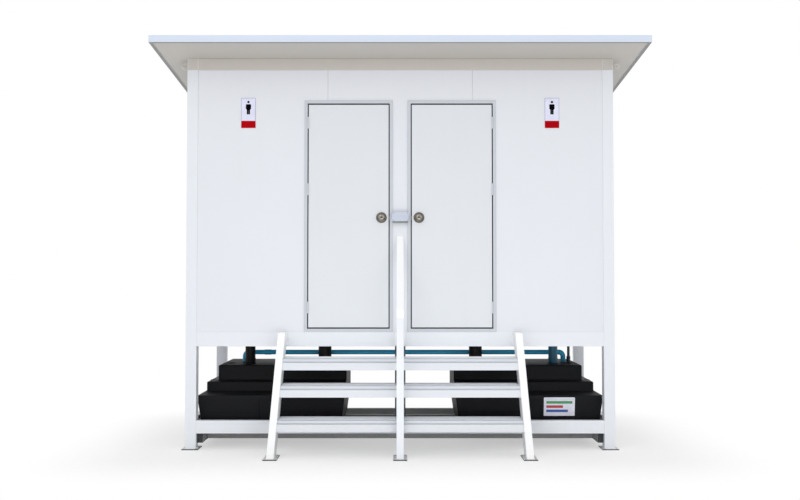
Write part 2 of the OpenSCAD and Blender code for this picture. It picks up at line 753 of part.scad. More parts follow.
// Stepped hollow waste tank, drawn for the right side and mirrored for the left
module tank(s) color([0.14, 0.14, 0.15]) place() mirror([s > 0 ? 0 : 1, 0, 0]) {
  back = tank_y + tank_d;
  low = [tank_in, tank_y];
  mid = [tank_in, tank_y + tier_front[0]];
  high = [tank_in, tank_y + tier_front[1]];
  w = [tank_t, tank_t];
  difference() {
    union() {
      tier(low, [tank_out, back], under_top, tank_top[0], tank_draft);
      tier(mid, [tank_out - tier_side[0], back], tank_top[0] - 40, tank_top[1], 0);
      tier(high, [tank_out - tier_side[1], back], tank_top[1] - 40, tank_top[2], 0);
    }
    room(low + w, [tank_out - tank_t, back - tank_t], under_top + tank_t,
      tank_top[0] - tank_t, tank_draft);
    room(mid + w, [tank_out - tier_side[0] - tank_t, back - tank_t], tank_top[0] - 50,
      tank_top[1] - tank_t, 0);
    room(high + w, [tank_out - tier_side[1] - tank_t, back - tank_t], tank_top[1] - 50,
      tank_top[2] - tank_t, 0);
    pole(soil_x, pipe_y, tank_top[2] - 60, tank_top[2] + 1, soil_r - pipe_t);
    pole(drain_x, pipe_y, tank_top[2] - 60, tank_top[2] + 1, drain_r - pipe_t);
    translate([groove_x, tank_y - 1, under_top + 40])
      cube([groove_w, 6, tank_top[0] - under_top - 90]);
  }
}
// Room inside a tier
module room(a, b, z0, z1, d) {
  r = 18;
  hull() for (p = [[z0, d], [z1 - 1, 0]])
    translate([0, 0, p[0]]) linear_extrude(1) offset(r = r, $fn = 20)
      translate([a[0] + r + p[1], a[1] + r + p[1]])
        square([b[0] - a[0] - 2 * (r + p[1]), b[1] - a[1] - 2 * (r + p[1])]);
}

// Black pipes from the pans to the tanks
module soil_pipes() color([0.08, 0.08, 0.08]) place() for (s = mirror_x) difference() {
  pole(s * soil_x, pipe_y, tank_top[2], floor_z, soil_r);
  pole(s * soil_x, pipe_y, tank_top[2] - 1, floor_z + 1, soil_r - pipe_t);
}

// Pipe from a floor drain to its tank, with a socket at the foot
module drain_pipe(s) color(s > 0 ? "steelblue" : "black") place() difference() {
  union() {
    pole(s * drain_x, pipe_y, tank_top[2], floor_z, drain_r);
    pole(s * drain_x, pipe_y, tank_top[2], tank_top[2] + 45, drain_r + pipe_t);
  }
  pole(s * drain_x, pipe_y, tank_top[2] - 1, floor_z + 1, drain_r - pipe_t);
}

// Blue pipe across the back of both tanks, with an elbow down at each end
module link_pipe() color("deepskyblue") place() {
  x0 = -link_left;
  x1 = link_right;
  translate([x0 + bend_r, link_y, link_z]) rotate([0, 90, 0])
    cylinder(r = link_r, h = x1 - x0 - 2 * bend_r);
  for (end = [[x0, 1], [x1, -1]]) {
    translate([end[0] + end[1] * bend_r, link_y, link_z - bend_r])
      rotate([90, 0, 0]) rotate([0, 0, end[1] > 0 ? 90 : 0])
        rotate_extrude(angle = 90) translate([bend_r, 0]) circle(r = link_r + 3, $fn = 24);
    pole(end[0], link_y, tank_top[2], link_z - bend_r, link_r + 3);
    translate([end[0] + end[1] * (bend_r + 15), link_y, link_z]) rotate([0, 90, 0])
      cylinder(r = link_r + 3, h = 30, center = true);
  }
}

// Thin water pipe with a union at the foot
module water_pipe() color("teal") place() {
  pole(water_x, pipe_y + water_back, tank_top[2], floor_z, water_r);
  pole(water_x, pipe_y + water_back, tank_top[2], tank_top[2] + 55, water_r + 7);
}

// Rounded slab about a middle in x and y, from z0 to z1
module slab(x, y, w, d, r, z0, z1) translate([x, y, z0])
  linear_extrude(z1 - z0) offset(r = r) square([w - 2 * r, d - 2 * r], center = true);

// Glazed squat pan with foot rests and a spigot through the deck
module squat_pan(s) color("white") place() translate([s * soil_x, pipe_y, deck_top]) difference() {
  union() {
    slab(0, 0, pan_w, pan_d, pan_r, 0, pan_h);
    for (sx = mirror_x)
      slab(sx * ((pan_w - rest_w) / 2 - rest_in), -rest_front, rest_w, rest_d, rest_in * 2,
        pan_h - 1, pan_h + rest_h);
    pole(0, 0, -60, 1, soil_r - pipe_t - 6);
  }
  slab(0, -bowl_front, bowl_w, bowl_d, bowl_r, bowl_floor, pan_h + 1);
  pole(0, 0, -61, bowl_floor + 1, outlet_r);
}

corner_post(-1, 0);  // post_front_left
corner_post(1, 0);  // post_front_right
corner_post(-1, cabin_d - post_w);  // post_rear_left
corner_post(1, cabin_d - post_w);  // post_rear_right
post_foot_plates();
lifting_lugs();
bottom_rails();
under_frame();
centre_leg();
floor_beams();
floor_joists();
floor_deck();
floor_drains();
roof_ring();
panel_front(-1);  // panel_front_left
panel_front(1);  // panel_front_right
panel_front_centre();
panels_rear();
panel_side(panel_in - half_w);  // panel_side_left
panel_side(half_w - panel_back);  // panel_side_right
partition();
roof_panel();
roof_fascia();
door_frame(-1);  // door_frame_left
door_frame(1);  // door_frame_right
door_leaf(-1);  // door_leaf_left
door_leaf(1);  // door_leaf_right
frame_hinges(-1);  // frame_hinges_left
frame_hinges(1);  // frame_hinges_right
leaf_hinges(-1);  // leaf_hinges_left
leaf_hinges(1);  // leaf_hinges_right
hinge_pins(-1);  // hinge_pins_left
hinge_pins(1);  // hinge_pins_right
knob_roses(-1);  // knob_roses_left
knob_roses(1);  // knob_roses_right
knob(-1);  // knob_left
knob(1);  // knob_right
latch_bolt(-1);  // latch_bolt_left
latch_bolt(1);  // latch_bolt_right
switch_box();
switch_box_cover();
sign(-1);  // sign_left
sign(1);  // sign_right
stringer_side(-1);  // stringer_left
stringer_side(1);  // stringer_right
stringer_middle();
treads(-1);  // treads_left
treads(1);  // treads_right
stair_foot_plates();
newel_post();
handrail();
tank(-1);  // tank_left
tank(1);  // tank_right
soil_pipes();
drain_pipe(-1);  // drain_pipe_left
drain_pipe(1);  // drain_pipe_right
link_pipe();
water_pipe();
squat_pan(-1);  // squat_pan_left
squat_pan(1);  // squat_pan_right
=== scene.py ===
import json
import math

import bmesh
import bpy
import numpy as np
from bpy.props import FloatProperty, FloatVectorProperty, IntProperty, PointerProperty
from bpy.types import Operator, Panel, PropertyGroup
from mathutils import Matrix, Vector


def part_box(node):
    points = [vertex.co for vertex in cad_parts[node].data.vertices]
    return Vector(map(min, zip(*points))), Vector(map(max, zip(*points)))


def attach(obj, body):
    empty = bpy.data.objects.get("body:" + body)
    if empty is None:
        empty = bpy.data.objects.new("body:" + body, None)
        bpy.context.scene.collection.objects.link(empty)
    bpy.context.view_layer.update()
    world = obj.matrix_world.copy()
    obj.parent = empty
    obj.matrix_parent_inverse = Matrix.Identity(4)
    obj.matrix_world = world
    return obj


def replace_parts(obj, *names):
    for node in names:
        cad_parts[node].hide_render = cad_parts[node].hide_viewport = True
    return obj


bl_info = {
    "name": "Prefabricated Toilet Cabin",
    "version": (1, 0, 0),
    "blender": (4, 5, 0),
    "location": "View3D > Sidebar > Cabin",
    "description": "Dresses the steel, panels, doors, stair, tanks and pipes of a raised cabin",
    "category": "Object",
}

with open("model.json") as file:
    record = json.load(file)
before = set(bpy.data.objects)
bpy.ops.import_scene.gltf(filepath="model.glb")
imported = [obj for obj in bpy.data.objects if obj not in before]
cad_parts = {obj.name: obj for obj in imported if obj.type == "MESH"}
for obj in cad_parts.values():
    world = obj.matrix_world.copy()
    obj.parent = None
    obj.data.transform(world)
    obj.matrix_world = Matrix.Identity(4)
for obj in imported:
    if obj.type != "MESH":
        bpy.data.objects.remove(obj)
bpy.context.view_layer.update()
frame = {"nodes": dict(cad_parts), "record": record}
SIDES = {"left": -1.0, "right": 1.0}
POSTS = [f"post_{end}_{side}" for side in SIDES for end in ("front", "rear")]
BODY_OF = {
    node: body for body, nodes in frame["record"]["behaviour"]["bodies"].items() for node in nodes
}
WHITE = (1.0, 1.0, 1.0, 1.0)
MERGE = 1e-6


def linear(red, green, blue):
    """Colour of a paint chart, 0 to 255, as the linear light that a shader takes."""
    chart = np.array([red, green, blue], float) / 255.0
    light = np.where(chart <= 0.04045, chart / 12.92, ((chart + 0.055) / 1.055) ** 2.4)
    return tuple(float(part) for part in light)


def low_high(node):
    """Lowest and highest corner of a solid as two arrays, in metres."""
    low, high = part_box(node)
    return np.array(low), np.array(high)


def corners_of(mesh):
    """The mesh's vertices as rows of x, y and z."""
    points = np.empty(len(mesh.vertices) * 3)
    mesh.vertices.foreach_get("co", points)
    return points.reshape(-1, 3)


# The door frames and posts stand this far before the front panels.
FRAME_PROUD = 0.005
FRONT_Y = low_high("panel_front_left")[0][1] - FRAME_PROUD


# Surfaces


def quarter_turn(steps):
    """Angles of a quarter circle in even steps."""
    return np.linspace(0.0, np.pi / 2, steps + 1)


def full_turn(sides):
    """Angles round a whole circle, the last one step short of the first."""
    return np.linspace(0.0, 2 * np.pi, sides, endpoint=False)


def unit(vectors):
    """The vectors at length 1."""
    vectors = np.array(vectors, float)
    return vectors / np.linalg.norm(vectors, axis=-1, keepdims=True)


def rounded_ring(x0, x1, y0, y1, radius, arc=6, run=1):
    """Rounded rectangle, counter-clockwise: four quarter circles of the given radius about the
    corners' centres, and points on the straight sides between them: run evenly spaced steps,
    or for each side its own shares of the way (back, left, front, right)."""
    least = 1e-5
    radius = min(radius, (x1 - x0) / 2 - least, (y1 - y0) / 2 - least)
    centres = [(x1 - radius, y1 - radius), (x0 + radius, y1 - radius),
               (x0 + radius, y0 + radius), (x1 - radius, y0 + radius)]
    arcs = []
    for k, centre in enumerate(centres):
        turn = quarter_turn(arc) + k * np.pi / 2
        arcs.append(centre + radius * np.stack([np.cos(turn), np.sin(turn)], 1))
    shares = [np.linspace(0.0, 1.0, run + 1)[1:-1]] * 4 if isinstance(run, int) else run
    rows = []
    for k in range(4):
        start, end = arcs[k][-1], arcs[(k + 1) % 4][0]
        rows += [arcs[k], start + (end - start) * shares[k][:, None]]
    return np.concatenate(rows)


def level_ring(flat, height):
    """Outline in x and y at a height: one value, or one for each point."""
    return np.column_stack([flat, np.broadcast_to(height, len(flat))])


def upright_rings(flat, *depths):
    """Outline in x and z at each depth y: one value, or one for each point."""
    return np.array([np.column_stack([flat[:, 0], np.broadcast_to(y, len(flat)), flat[:, 1]])
                     for y in depths])


def lathe(profile, centre, axis=(0, 0, 1), sides=32):
    """Surface of revolution: radius and height of the profile turned about the axis through
    centre, P = centre + r(v) (A cos u + B sin u) + h(v) axis."""
    axis = unit(axis)
    helper = (0.0, 0.0, 1.0) if abs(axis[2]) < 0.9 else (1.0, 0.0, 0.0)
    across = unit(np.cross(helper, axis))
    angle = full_turn(sides)[:, None]
    ring = np.cos(angle) * across + np.sin(angle) * np.cross(axis, across)
    radius, height = np.array(profile, float).T[:, :, None, None]
    return np.array(centre, float) + radius * ring + height * axis


def pipe_along(path, radius, across, sides=28):
    """Round pipe: a circle of the given radius, one value or one for each point, carried
    along a flat path, square to its tangent; across is the normal of the path's plane."""
    path, across = np.array(path, float), np.array(across, float)
    normal = np.cross(across, unit(np.gradient(path, axis=0)))
    angle = full_turn(sides)[:, None]
    ring = np.cos(angle) * normal[:, None] + np.sin(angle) * across
    return path[:, None] + np.broadcast_to(radius, len(path))[:, None, None] * ring


def capped(grid):
    """The grid with a pole added at both ends, each at the middle of its end ring."""
    first, last = (np.repeat(ring.mean(axis=1, keepdims=True), grid.shape[1], axis=1)
                   for ring in (grid[:1], grid[-1:]))
    return np.concatenate([first, grid, last])


def bar(low, high, radius, along=2, arc=3):
    """Straight bar with rounded long edges: a rounded rectangle carried from low to high along
    one axis, its ends drawn in by the same radius over a quarter circle."""
    low, high = np.array(low, float), np.array(high, float)
    a, b = [(1, 2), (2, 0), (0, 1)][along]
    least = 0.3 * radius
    step = radius * (1 - np.sin(quarter_turn(arc)))
    rise = radius * (1 - np.cos(quarter_turn(arc)))
    places = np.concatenate([low[along] + rise, high[along] - rise[::-1]])
    rings = []
    for place, draw in zip(places, np.concatenate([step, step[::-1]])):
        ring = np.full((4 * (arc + 1), 3), place)
        ring[:, [a, b]] = rounded_ring(low[a] + draw, high[a] - draw, low[b] + draw,
                                       high[b] - draw, max(radius - draw, least), arc)
        rings.append(ring)
    return capped(np.array(rings))


def mirrored(grid):
    """The grid's mirror image in the plane x = 0, its rings turned round to face outwards."""
    return (grid * np.array([-1.0, 1.0, 1.0]))[:, ::-1]


def mended(mesh, mend):
    """Merges the mesh's doubles, then lets mend work on what is left."""
    shell = bmesh.new()
    shell.from_mesh(mesh)
    bmesh.ops.remove_doubles(shell, verts=shell.verts, dist=MERGE)
    mend(shell)
    shell.to_mesh(mesh)
    shell.free()


def faced_outwards(shell):
    """Drops faces without area and turns all faces outwards."""
    bmesh.ops.dissolve_degenerate(shell, dist=MERGE / 2, edges=shell.edges)
    bmesh.ops.recalc_face_normals(shell, faces=shell.faces)


def joined_flats(shell):
    """Joins the triangles of each flat face."""
    bmesh.ops.dissolve_limit(shell, angle_limit=math.radians(0.6), verts=shell.verts, edges=shell.edges)


def made_piece(name, grids, material, body="cabin", sharp=40.0):
    """Mesh of closed-ring grids: each vertex joins the next on its ring and on the next ring."""
    faces, start = [], 0
    for grid in grids:
        rows, columns = grid.shape[:2]
        index = np.arange(rows * columns).reshape(rows, columns) + start
        after = np.roll(index, -1, axis=1)
        faces.append(np.stack([index[:-1], after[:-1], after[1:], index[1:]], -1).reshape(-1, 4))
        start += index.size
    points = np.concatenate([grid.reshape(-1, 3) for grid in grids])
    mesh = bpy.data.meshes.new(name)
    mesh.from_pydata(points.tolist(), [], np.concatenate(faces).tolist())
    mended(mesh, faced_outwards)
    return placed(name, mesh, material, body, sharp)


def stand_in(node, name, grids, material, sharp=40.0):
    """Piece that is shown instead of a solid, riding on the solid's body."""
    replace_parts(made_piece(name, grids, material, BODY_OF[node], sharp), node)


def placed(name, mesh, material, body, sharp):
    """New object for the mesh, smooth up to the sharp angle, riding on its body."""
    mesh.polygons.foreach_set("use_smooth", np.ones(len(mesh.polygons), bool))
    mesh.set_sharp_from_angle(angle=math.radians(sharp))
    mesh.materials.append(finish(material))
    piece = bpy.data.objects.new(name, mesh)
    bpy.context.scene.collection.objects.link(piece)
    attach(piece, body)
    return piece


def softened(node, material, width=0.002, segments=2):
    """Copy of a solid with its doubles merged, its flat faces joined and its edges rounded."""
    mesh = frame["nodes"][node].data.copy()
    mesh.materials.clear()
    mended(mesh, joined_flats)
    piece = placed(node + "_piece", mesh, material, BODY_OF[node], 32.0)
    edge = piece.modifiers.new("Rounded edges", "BEVEL")
    edge.width = width
    edge.segments = segments
    edge.limit_method = "ANGLE"
    edge.angle_limit = math.radians(40)
    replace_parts(piece, node)
    return piece


def roof_fall():
    """Height that the roof loses per metre towards the rear."""
    front, rear = low_high("post_front_left"), low_high("post_rear_left")
    return (front[1][2] - rear[1][2]) / (rear[0][1] - front[0][1])


def drawn_forward(piece, by):
    """Carries the front edge of a roof piece forward and up along the roof's slope."""
    edge_deep = 0.06
    points = corners_of(piece.data)
    edge = points[:, 1] < points[:, 1].min() + edge_deep
    points[edge] += (0.0, -by, by * roof_fall())
    piece.data.vertices.foreach_set("co", points.ravel())
    piece.data.update()
    return piece


def repainted(piece, material, chosen):
    """Gives a second material to the faces whose normal's height chosen picks."""
    piece.data.materials.append(finish(material))
    for face in piece.data.polygons:
        if chosen(face.normal.z):
            face.material_index = 1


# Finishes


def add(tree, kind, values=None, **settings):
    """New node with its settings, and its inputs set to values or linked to sockets."""
    node = tree.nodes.new(kind)
    for key, value in settings.items():
        setattr(node, key, value)
    for key, value in (values or {}).items():
        if isinstance(value, bpy.types.NodeSocket):
            tree.links.new(value, node.inputs[key])
        else:
            node.inputs[key].default_value = value
    return node


def reckoned(tree, operation, *values, clamp=False):
    """Result of a sum on up to three numbers or sockets."""
    return add(tree, "ShaderNodeMath", dict(enumerate(values)),
               operation=operation, use_clamp=clamp).outputs[0]


def vector(tree, operation, *values, output=0):
    """Result of a sum on one or two vectors."""
    return add(tree, "ShaderNodeVectorMath", dict(enumerate(values)), operation=operation).outputs[output]


def scaled(tree, given, by):
    """Vector or colour times a number."""
    return add(tree, "ShaderNodeVectorMath", {0: given, "Scale": by}, operation="SCALE").outputs[0]


def spread(tree, value, low, high, to_low=0.0, to_high=1.0, way="LINEAR"):
    """Value carried from the range low to high over to another range, and held within it."""
    return add(tree, "ShaderNodeMapRange",
               {"Value": value, "From Min": low, "From Max": high, "To Min": to_low,
                "To Max": to_high}, interpolation_type=way).outputs[0]


def noise(tree, place, scale, detail, roughness=0.5):
    """Cloudy noise of the given scale."""
    return add(tree, "ShaderNodeTexNoise", {"Vector": place, "Scale": scale, "Detail": detail,
                                            "Roughness": roughness}).outputs[0]


def stretched(tree, place, scale):
    """Coordinates with their own scale on each axis."""
    return add(tree, "ShaderNodeMapping", {"Vector": place, "Scale": scale}).outputs[0]


def mixed(tree, share, first, second):
    """Colour between first and second by share."""
    return add(tree, "ShaderNodeMix", {0: share, 6: first, 7: second}, data_type="RGBA").outputs[2]


def height_of(tree, place):
    """The z part of a vector."""
    return add(tree, "ShaderNodeSeparateXYZ", {0: place}).outputs[2]


def weathered(tree, given, place, facing):
    """Outdoor coating: cloudy tone, upright rain streaks, and dust low down and on level faces."""
    tone = reckoned(tree, "SUBTRACT", noise(tree, place, 2.3, 5.0), 0.5)
    shade = reckoned(tree, "MULTIPLY_ADD", tone, given["Cloud"], 1.0)
    toned = scaled(tree, given["Colour"], shade)
    streak = noise(tree, stretched(tree, place, (30.0, 30.0, 0.9)), 1.0, 4.0)
    rain = reckoned(tree, "MULTIPLY", spread(tree, streak, 0.52, 0.8), given["Streaks"], clamp=True)
    streaked = mixed(tree, rain, toned, given["Dust Colour"])
    low_down = spread(tree, height_of(tree, place), 0.45, 0.0)
    level = spread(tree, facing, 0.55, 1.0, to_high=0.5)
    broken = reckoned(tree, "MULTIPLY", reckoned(tree, "MAXIMUM", low_down, level),
                      noise(tree, place, 26.0, 7.0, 0.68))
    dust = reckoned(tree, "MULTIPLY", broken, given["Dust"], clamp=True)
    dusty = mixed(tree, dust, streaked, given["Dust Colour"])
    matt = reckoned(tree, "MULTIPLY_ADD", dust, 0.6, given["Roughness"], clamp=True)
    return dusty, matt, noise(tree, place, given["Grain Scale"], 2.0)


def brushed(tree, given, place, facing):
    """Satin steel: fine hair lines across the height, and faint finger marks."""
    lines = scaled(tree, stretched(tree, place, (60.0, 60.0, 2400.0)), given["Line Scale"])
    hair = noise(tree, lines, 1.0, 3.0)
    mark = spread(tree, noise(tree, place, 45.0, 4.0), 0.5, 0.75)
    marks = reckoned(tree, "MULTIPLY", mark, given["Marks"])
    shade = spread(tree, hair, 0.0, 1.0, 0.86, 1.1)
    toned = scaled(tree, given["Colour"], shade)
    return toned, reckoned(tree, "ADD", marks, given["Roughness"], clamp=True), hair


def moulded(tree, given, place, facing):
    """Rotation-moulded plastic: pebbled grain, mottled sheen, pale dust on level faces."""
    pebble = add(tree, "ShaderNodeTexVoronoi", {"Vector": place, "Scale": given["Pebble Scale"]})
    mottle = noise(tree, place, 9.0, 6.0, 0.65)
    share = reckoned(tree, "MULTIPLY", spread(tree, facing, 0.2, 1.0), mottle)
    dust = reckoned(tree, "MULTIPLY", share, given["Dust"], clamp=True)
    shade = spread(tree, mottle, 0.0, 1.0, 0.8, 1.2)
    toned = scaled(tree, given["Colour"], shade)
    dusty = mixed(tree, dust, toned, given["Dust Colour"])
    rough = reckoned(tree, "ADD", reckoned(tree, "MULTIPLY", mottle, 0.16), given["Roughness"],
                     clamp=True)
    return dusty, rough, pebble.outputs["Distance"]


GROUPS = {
    "Weathered Coat": (weathered, {
        "Colour": (0.8, 0.8, 0.8, 1.0), "Dust Colour": (0.3, 0.27, 0.23, 1.0), "Dust": 0.2,
        "Streaks": 0.1, "Cloud": 0.04, "Roughness": 0.4, "Grain Scale": 900.0}),
    "Brushed Metal": (brushed, {
        "Colour": (0.5, 0.5, 0.5, 1.0), "Roughness": 0.3, "Line Scale": 1.0, "Marks": 0.1}),
    "Moulded Plastic": (moulded, {
        "Colour": (0.02, 0.02, 0.02, 1.0), "Dust Colour": (0.3, 0.28, 0.25, 1.0), "Dust": 0.3,
        "Roughness": 0.5, "Pebble Scale": 260.0}),
}


def shared_group(name):
    """Shader node group of that name, made once: its inputs are the values a material sets,
    its outputs the colour, the roughness and the height of the grain."""
    if name in bpy.data.node_groups:
        return bpy.data.node_groups[name]
    build, inputs = GROUPS[name]
    tree = bpy.data.node_groups.new(name, "ShaderNodeTree")
    for label, value in inputs.items():
        kind = "NodeSocketColor" if isinstance(value, tuple) else "NodeSocketFloat"
        socket = tree.interface.new_socket(label, in_out="INPUT", socket_type=kind)
        socket.default_value = value
    labels = {"Colour": "NodeSocketColor", "Roughness": "NodeSocketFloat", "Height": "NodeSocketFloat"}
    for label, kind in labels.items():
        tree.interface.new_socket(label, in_out="OUTPUT", socket_type=kind)
    place = add(tree, "ShaderNodeTexCoord").outputs["Object"]
    facing = height_of(tree, add(tree, "ShaderNodeNewGeometry").outputs["Normal"])
    results = build(tree, add(tree, "NodeGroupInput").outputs, place, facing)
    add(tree, "NodeGroupOutput", dict(zip(labels, results)))
    return tree


def bare_tree(owner):
    """Node tree of a material or world, emptied."""
    owner.use_nodes = True
    owner.node_tree.nodes.clear()
    return owner.node_tree


def paint(text, *chart, **values):
    """Row of the table of finishes for a weathered paint with this cabin's dust."""
    dust = {"dust": 0.1, "dust_colour": (*linear(150, 142, 128), 1.0)}
    return text, chart, "Weathered Coat", {**dust, "streaks": 0.012, "cloud": 0.025,
                                           "roughness": 0.42, "bump": 0.05, **values}


def plastic(text, *chart, **values):
    """Row of the table of finishes for moulded plastic, rubber, film or glaze."""
    return text, chart, "Moulded Plastic", values


def metal(text, *chart, **values):
    """Row of the table of finishes for satin steel."""
    return text, chart, "Brushed Metal", {"metallic": 1.0, **values}


FINISHES = {
    "frame_paint": paint("Posts, beams and newel post", 234, 238, 244, dust=0.12),
    # Partly painted shade: the ring beam's beige is darkened for the shade under the roof.
    "ring_beam_paint_and_shade": paint("Ring beam under the roof", 208, 204, 197),
    "under_frame_paint": paint("Dark frame under the tanks", 162, 163, 164, dust=0.08, roughness=0.6),
    # Painted shade: dark bars over the dark frame's tube ends, for the shade inside the open tubes.
    "tube_end_painted_shade": plastic("Plugs in the dark frame's tubes", 66, 68, 70, roughness=0.6,
                               gloss=0.2, dust=0.2),
    # Painted shade: the leg between the tanks is dark grey for the shade it stands in.
    "centre_leg_painted_shade": paint("Leg between the tanks", 112, 116, 123, dust=0.08, roughness=0.6),
    "lug_paint": paint("Rings by the post tops", 206, 203, 198),
    "foot_plate_paint": paint("Plates under posts and stair", 230, 233, 236, dust=0.6, roughness=0.5),
    "plate_dark_side_faces": paint("Cut edges of the foot plates", 24, 25, 27, roughness=0.7),
    "panel_skin": paint("Skin of the wall panels", 231, 234, 240, dust=0.04),
    "joint_sealant": paint("Sealant in the panel joints", 205, 208, 212, roughness=0.6),
    "soffit_skin": paint("Underside of the roof", 197, 193, 187, dust=0.02),
    "fascia_trim": paint("Trim round the roof", 217, 228, 245, dust=0.05),
    # Painted shade: dark grey for the downward faces of the roof's trim.
    "trim_underside_painted_shade": paint("Underside of the roof's trim", 150, 149, 146, roughness=0.6),
    "roof_top_skin": paint("Upper skin of the roof", 205, 208, 210, dust=0.2, streaks=0.1),
    "door_paint": paint("Door leaves", 226, 230, 235, dust=0.06),
    "door_frame_coat": paint("Anodised door frames", 204, 208, 216, dust=0.08, roughness=0.35),
    # Partly painted shade: the dark rubber also stands for the shade in the gaps round the leaves.
    "gap_rubber_and_shade": plastic("Rubber round the leaves", 64, 68, 75, roughness=0.7, dust=0.1),
    "hinge_paint": paint("Hinges", 208, 211, 217, roughness=0.35),
    "pin_steel": metal("Pins, screws and grates", 158, 155, 147, roughness=0.34, marks=0.2),
    "knob_steel": metal("Knobs and latch bolts", 158, 155, 147, roughness=0.24, marks=0.15,
                        line_scale=0.6),
    "rose_steel": metal("Darker steel behind the knobs", 104, 99, 90, roughness=0.3,
                        marks=0.15, line_scale=0.6),
    "key_hole_black": plastic("Shaded slot for the key", 20, 20, 21, roughness=0.6),
    "switch_box_plastic": plastic("Box between the doors", 200, 208, 224, roughness=0.34,
                                  dust=0.05, bump=0.03),
    # Painted shadow: grey strip for the switch box's shadow on the wall below it.
    "box_painted_shadow": plastic("Strip under the switch box", 136, 140, 138, roughness=0.7,
                                gloss=0.2, dust=0.1),
    "sign_ground": plastic("Ground of the signs", 230, 231, 252, roughness=0.3, dust=0.02, bump=0.01),
    "sign_rim_grey": plastic("Outline of the signs", 150, 158, 190, roughness=0.4, dust=0.02, bump=0.01),
    "sign_band_red": plastic("Lower band of the signs", 178, 0, 14, roughness=0.5, gloss=0.05,
                             dust=0.0, bump=0.01),
    "sign_ink": plastic("Figure on the signs", 6, 6, 12, roughness=0.6, gloss=0.02, dust=0.0, bump=0.01),
    # Partly painted light: the stair's white is set brighter than the frame's, for the light on the
    # stringers and handrail.
    "stair_white_and_light": paint("Stringers and handrail", 251, 252, 253, dust=0.2),
    "tread_paint": paint("Stair treads", 226, 230, 236, dust=0.35, roughness=0.5),
    # Painted light: the ribs are whiter than the treads, to lighten the tread tops.
    "tread_ribs_paint": paint("Raised lines on the treads", 236, 239, 244, roughness=0.6),
    "tread_nosings_paint": paint("Band along the tread fronts", 212, 217, 225),
    # Painted shade: dark lines along the nosings for the shade in their grooves.
    "nosing_grooves_paint": paint("Shaded lines of the nosings", 168, 173, 181, roughness=0.7),
    "tank_plastic": plastic("Polyethylene of the tanks", 22, 23, 26, roughness=0.42, gloss=0.12,
                            dust=0.05, bump=0.12, dust_colour=(*linear(84, 84, 82), 1.0)),
    "soil_pipe_plastic": plastic("Black pipes under the floor", 16, 17, 17, roughness=0.38,
                                 gloss=0.2, dust=0.1),
    "link_pipe_plastic": plastic("Blue pipe across the tanks", 44, 190, 242, roughness=0.28,
                                 dust=0.05, bump=0.02),
    # Painted shade: the right drain pipe is the blue pipe's colour, darkened for the shade under the
    # floor.
    "drain_pipe_shaded_blue": plastic("Right drain pipe", 14, 98, 128, roughness=0.3, dust=0.05, bump=0.02),
    "water_pipe_plastic": plastic("Dark blue water pipe", 8, 46, 66, roughness=0.3, dust=0.05, bump=0.02),
    "deck_board": paint("Floor deck", 128, 124, 116, dust=0.4, cloud=0.2, roughness=0.6),
    "pan_glaze": plastic("Glaze of the squat pans", 240, 241, 238, roughness=0.08, dust=0.02,
                         bump=0.0, coat=0.6),
}
for part, chart in (("border", (236, 236, 240)), ("ground", (220, 222, 235)),
                    ("green_bar", (70, 150, 92)), ("red_bar", (178, 56, 60)),
                    ("blue_bar", (52, 84, 158))):
    FINISHES[f"label_{part}_film"] = plastic("Film of the tank's label", *chart, roughness=0.35,
                                             dust=0.04, bump=0.01)


def finish(name):
    """Material of the table of finishes, made once. Its colour, roughness and relief come from
    one of the shared groups."""
    if name in bpy.data.materials:
        return bpy.data.materials[name]
    group, given = FINISHES[name][2:]
    values = {"metallic": 0.0, "bump": 0.08, "coat": 0.0, "gloss": 0.5, **given}
    material = bpy.data.materials.new(name)
    tree = bare_tree(material)
    texture = add(tree, "ShaderNodeGroup", node_tree=shared_group(group))
    texture.inputs["Colour"].default_value = (*getattr(settings()[0], name), 1.0)
    for key, value in values.items():
        label = key.replace("_", " ").title()
        if label in texture.inputs:
            texture.inputs[label].default_value = value
    relief = add(tree, "ShaderNodeBump", {"Height": texture.outputs["Height"],
                                          "Strength": values["bump"], "Distance": 0.001})
    shader = add(tree, "ShaderNodeBsdfPrincipled",
                 {"Base Color": texture.outputs["Colour"],
                  "Roughness": texture.outputs["Roughness"], "Normal": relief.outputs[0],
                  "Metallic": values["metallic"], "Coat Weight": values["coat"],
                  "Specular IOR Level": values["gloss"]})
    add(tree, "ShaderNodeOutputMaterial", {0: shader.outputs[0]})
    return material


# What a user may change


def colour(name, text, *chart):
    """Colour property with a default from a paint chart."""
    return FloatVectorProperty(name=name.replace("_", " ").capitalize(), description=text,
                               default=linear(*chart), min=0.0, max=1.0, size=3,
                               subtype="COLOR")


def number(label, text, default, **more):
    """Number property with its name, description and default."""
    return FloatProperty(name=label, description=text, default=default, **more)


def length(label, text, default):
    """Number property for a length in metres."""
    return number(label, text, default, unit="LENGTH")


class CabinColours(PropertyGroup):
    """Colour of each finish in the table."""

    __annotations__ = {name: colour(name, text, *chart) for name, (text, chart, *_) in FINISHES.items()}


class CabinSizes(PropertyGroup):
    """Small sizes that only the looks use."""

    tube: length("Dark tube", "Width of the dark frame's tubes", 0.050)
    tube_edge: length("Tube edge", "Rounded edge of the steel tubes", 0.006)
    sheet_edge: length("Sheet edge", "Rounded edge of folded sheet", 0.0012)
    tank_edge: length("Tank edge", "Radius of the tank's edges", 0.010)
    tank_back: length("Tank set-back", "Tank's front behind its solid's", 0.037)
    tank_wide: length("Tank breadth", "Outer side beyond its solid's", 0.018)
    tank_draft: length("Tank draft", "Taper of the lowest tier", 0.036)
    overhang: length("Roof overhang", "Roof's front edge before its solid's", 0.068)
    rose_rim: length("Rose rim", "Rose's rim beyond its solid's", 0.005)
    sign_at: length("Sign place", "Signs' middle from the cabin's", 1.3325)
    band: length("Sign band", "Height of the sign's lower band", 0.063)
    ribs: IntProperty(name="Roof ribs", description="Raised ribs on the roof's upper skin",
                      default=9, min=3, max=21)


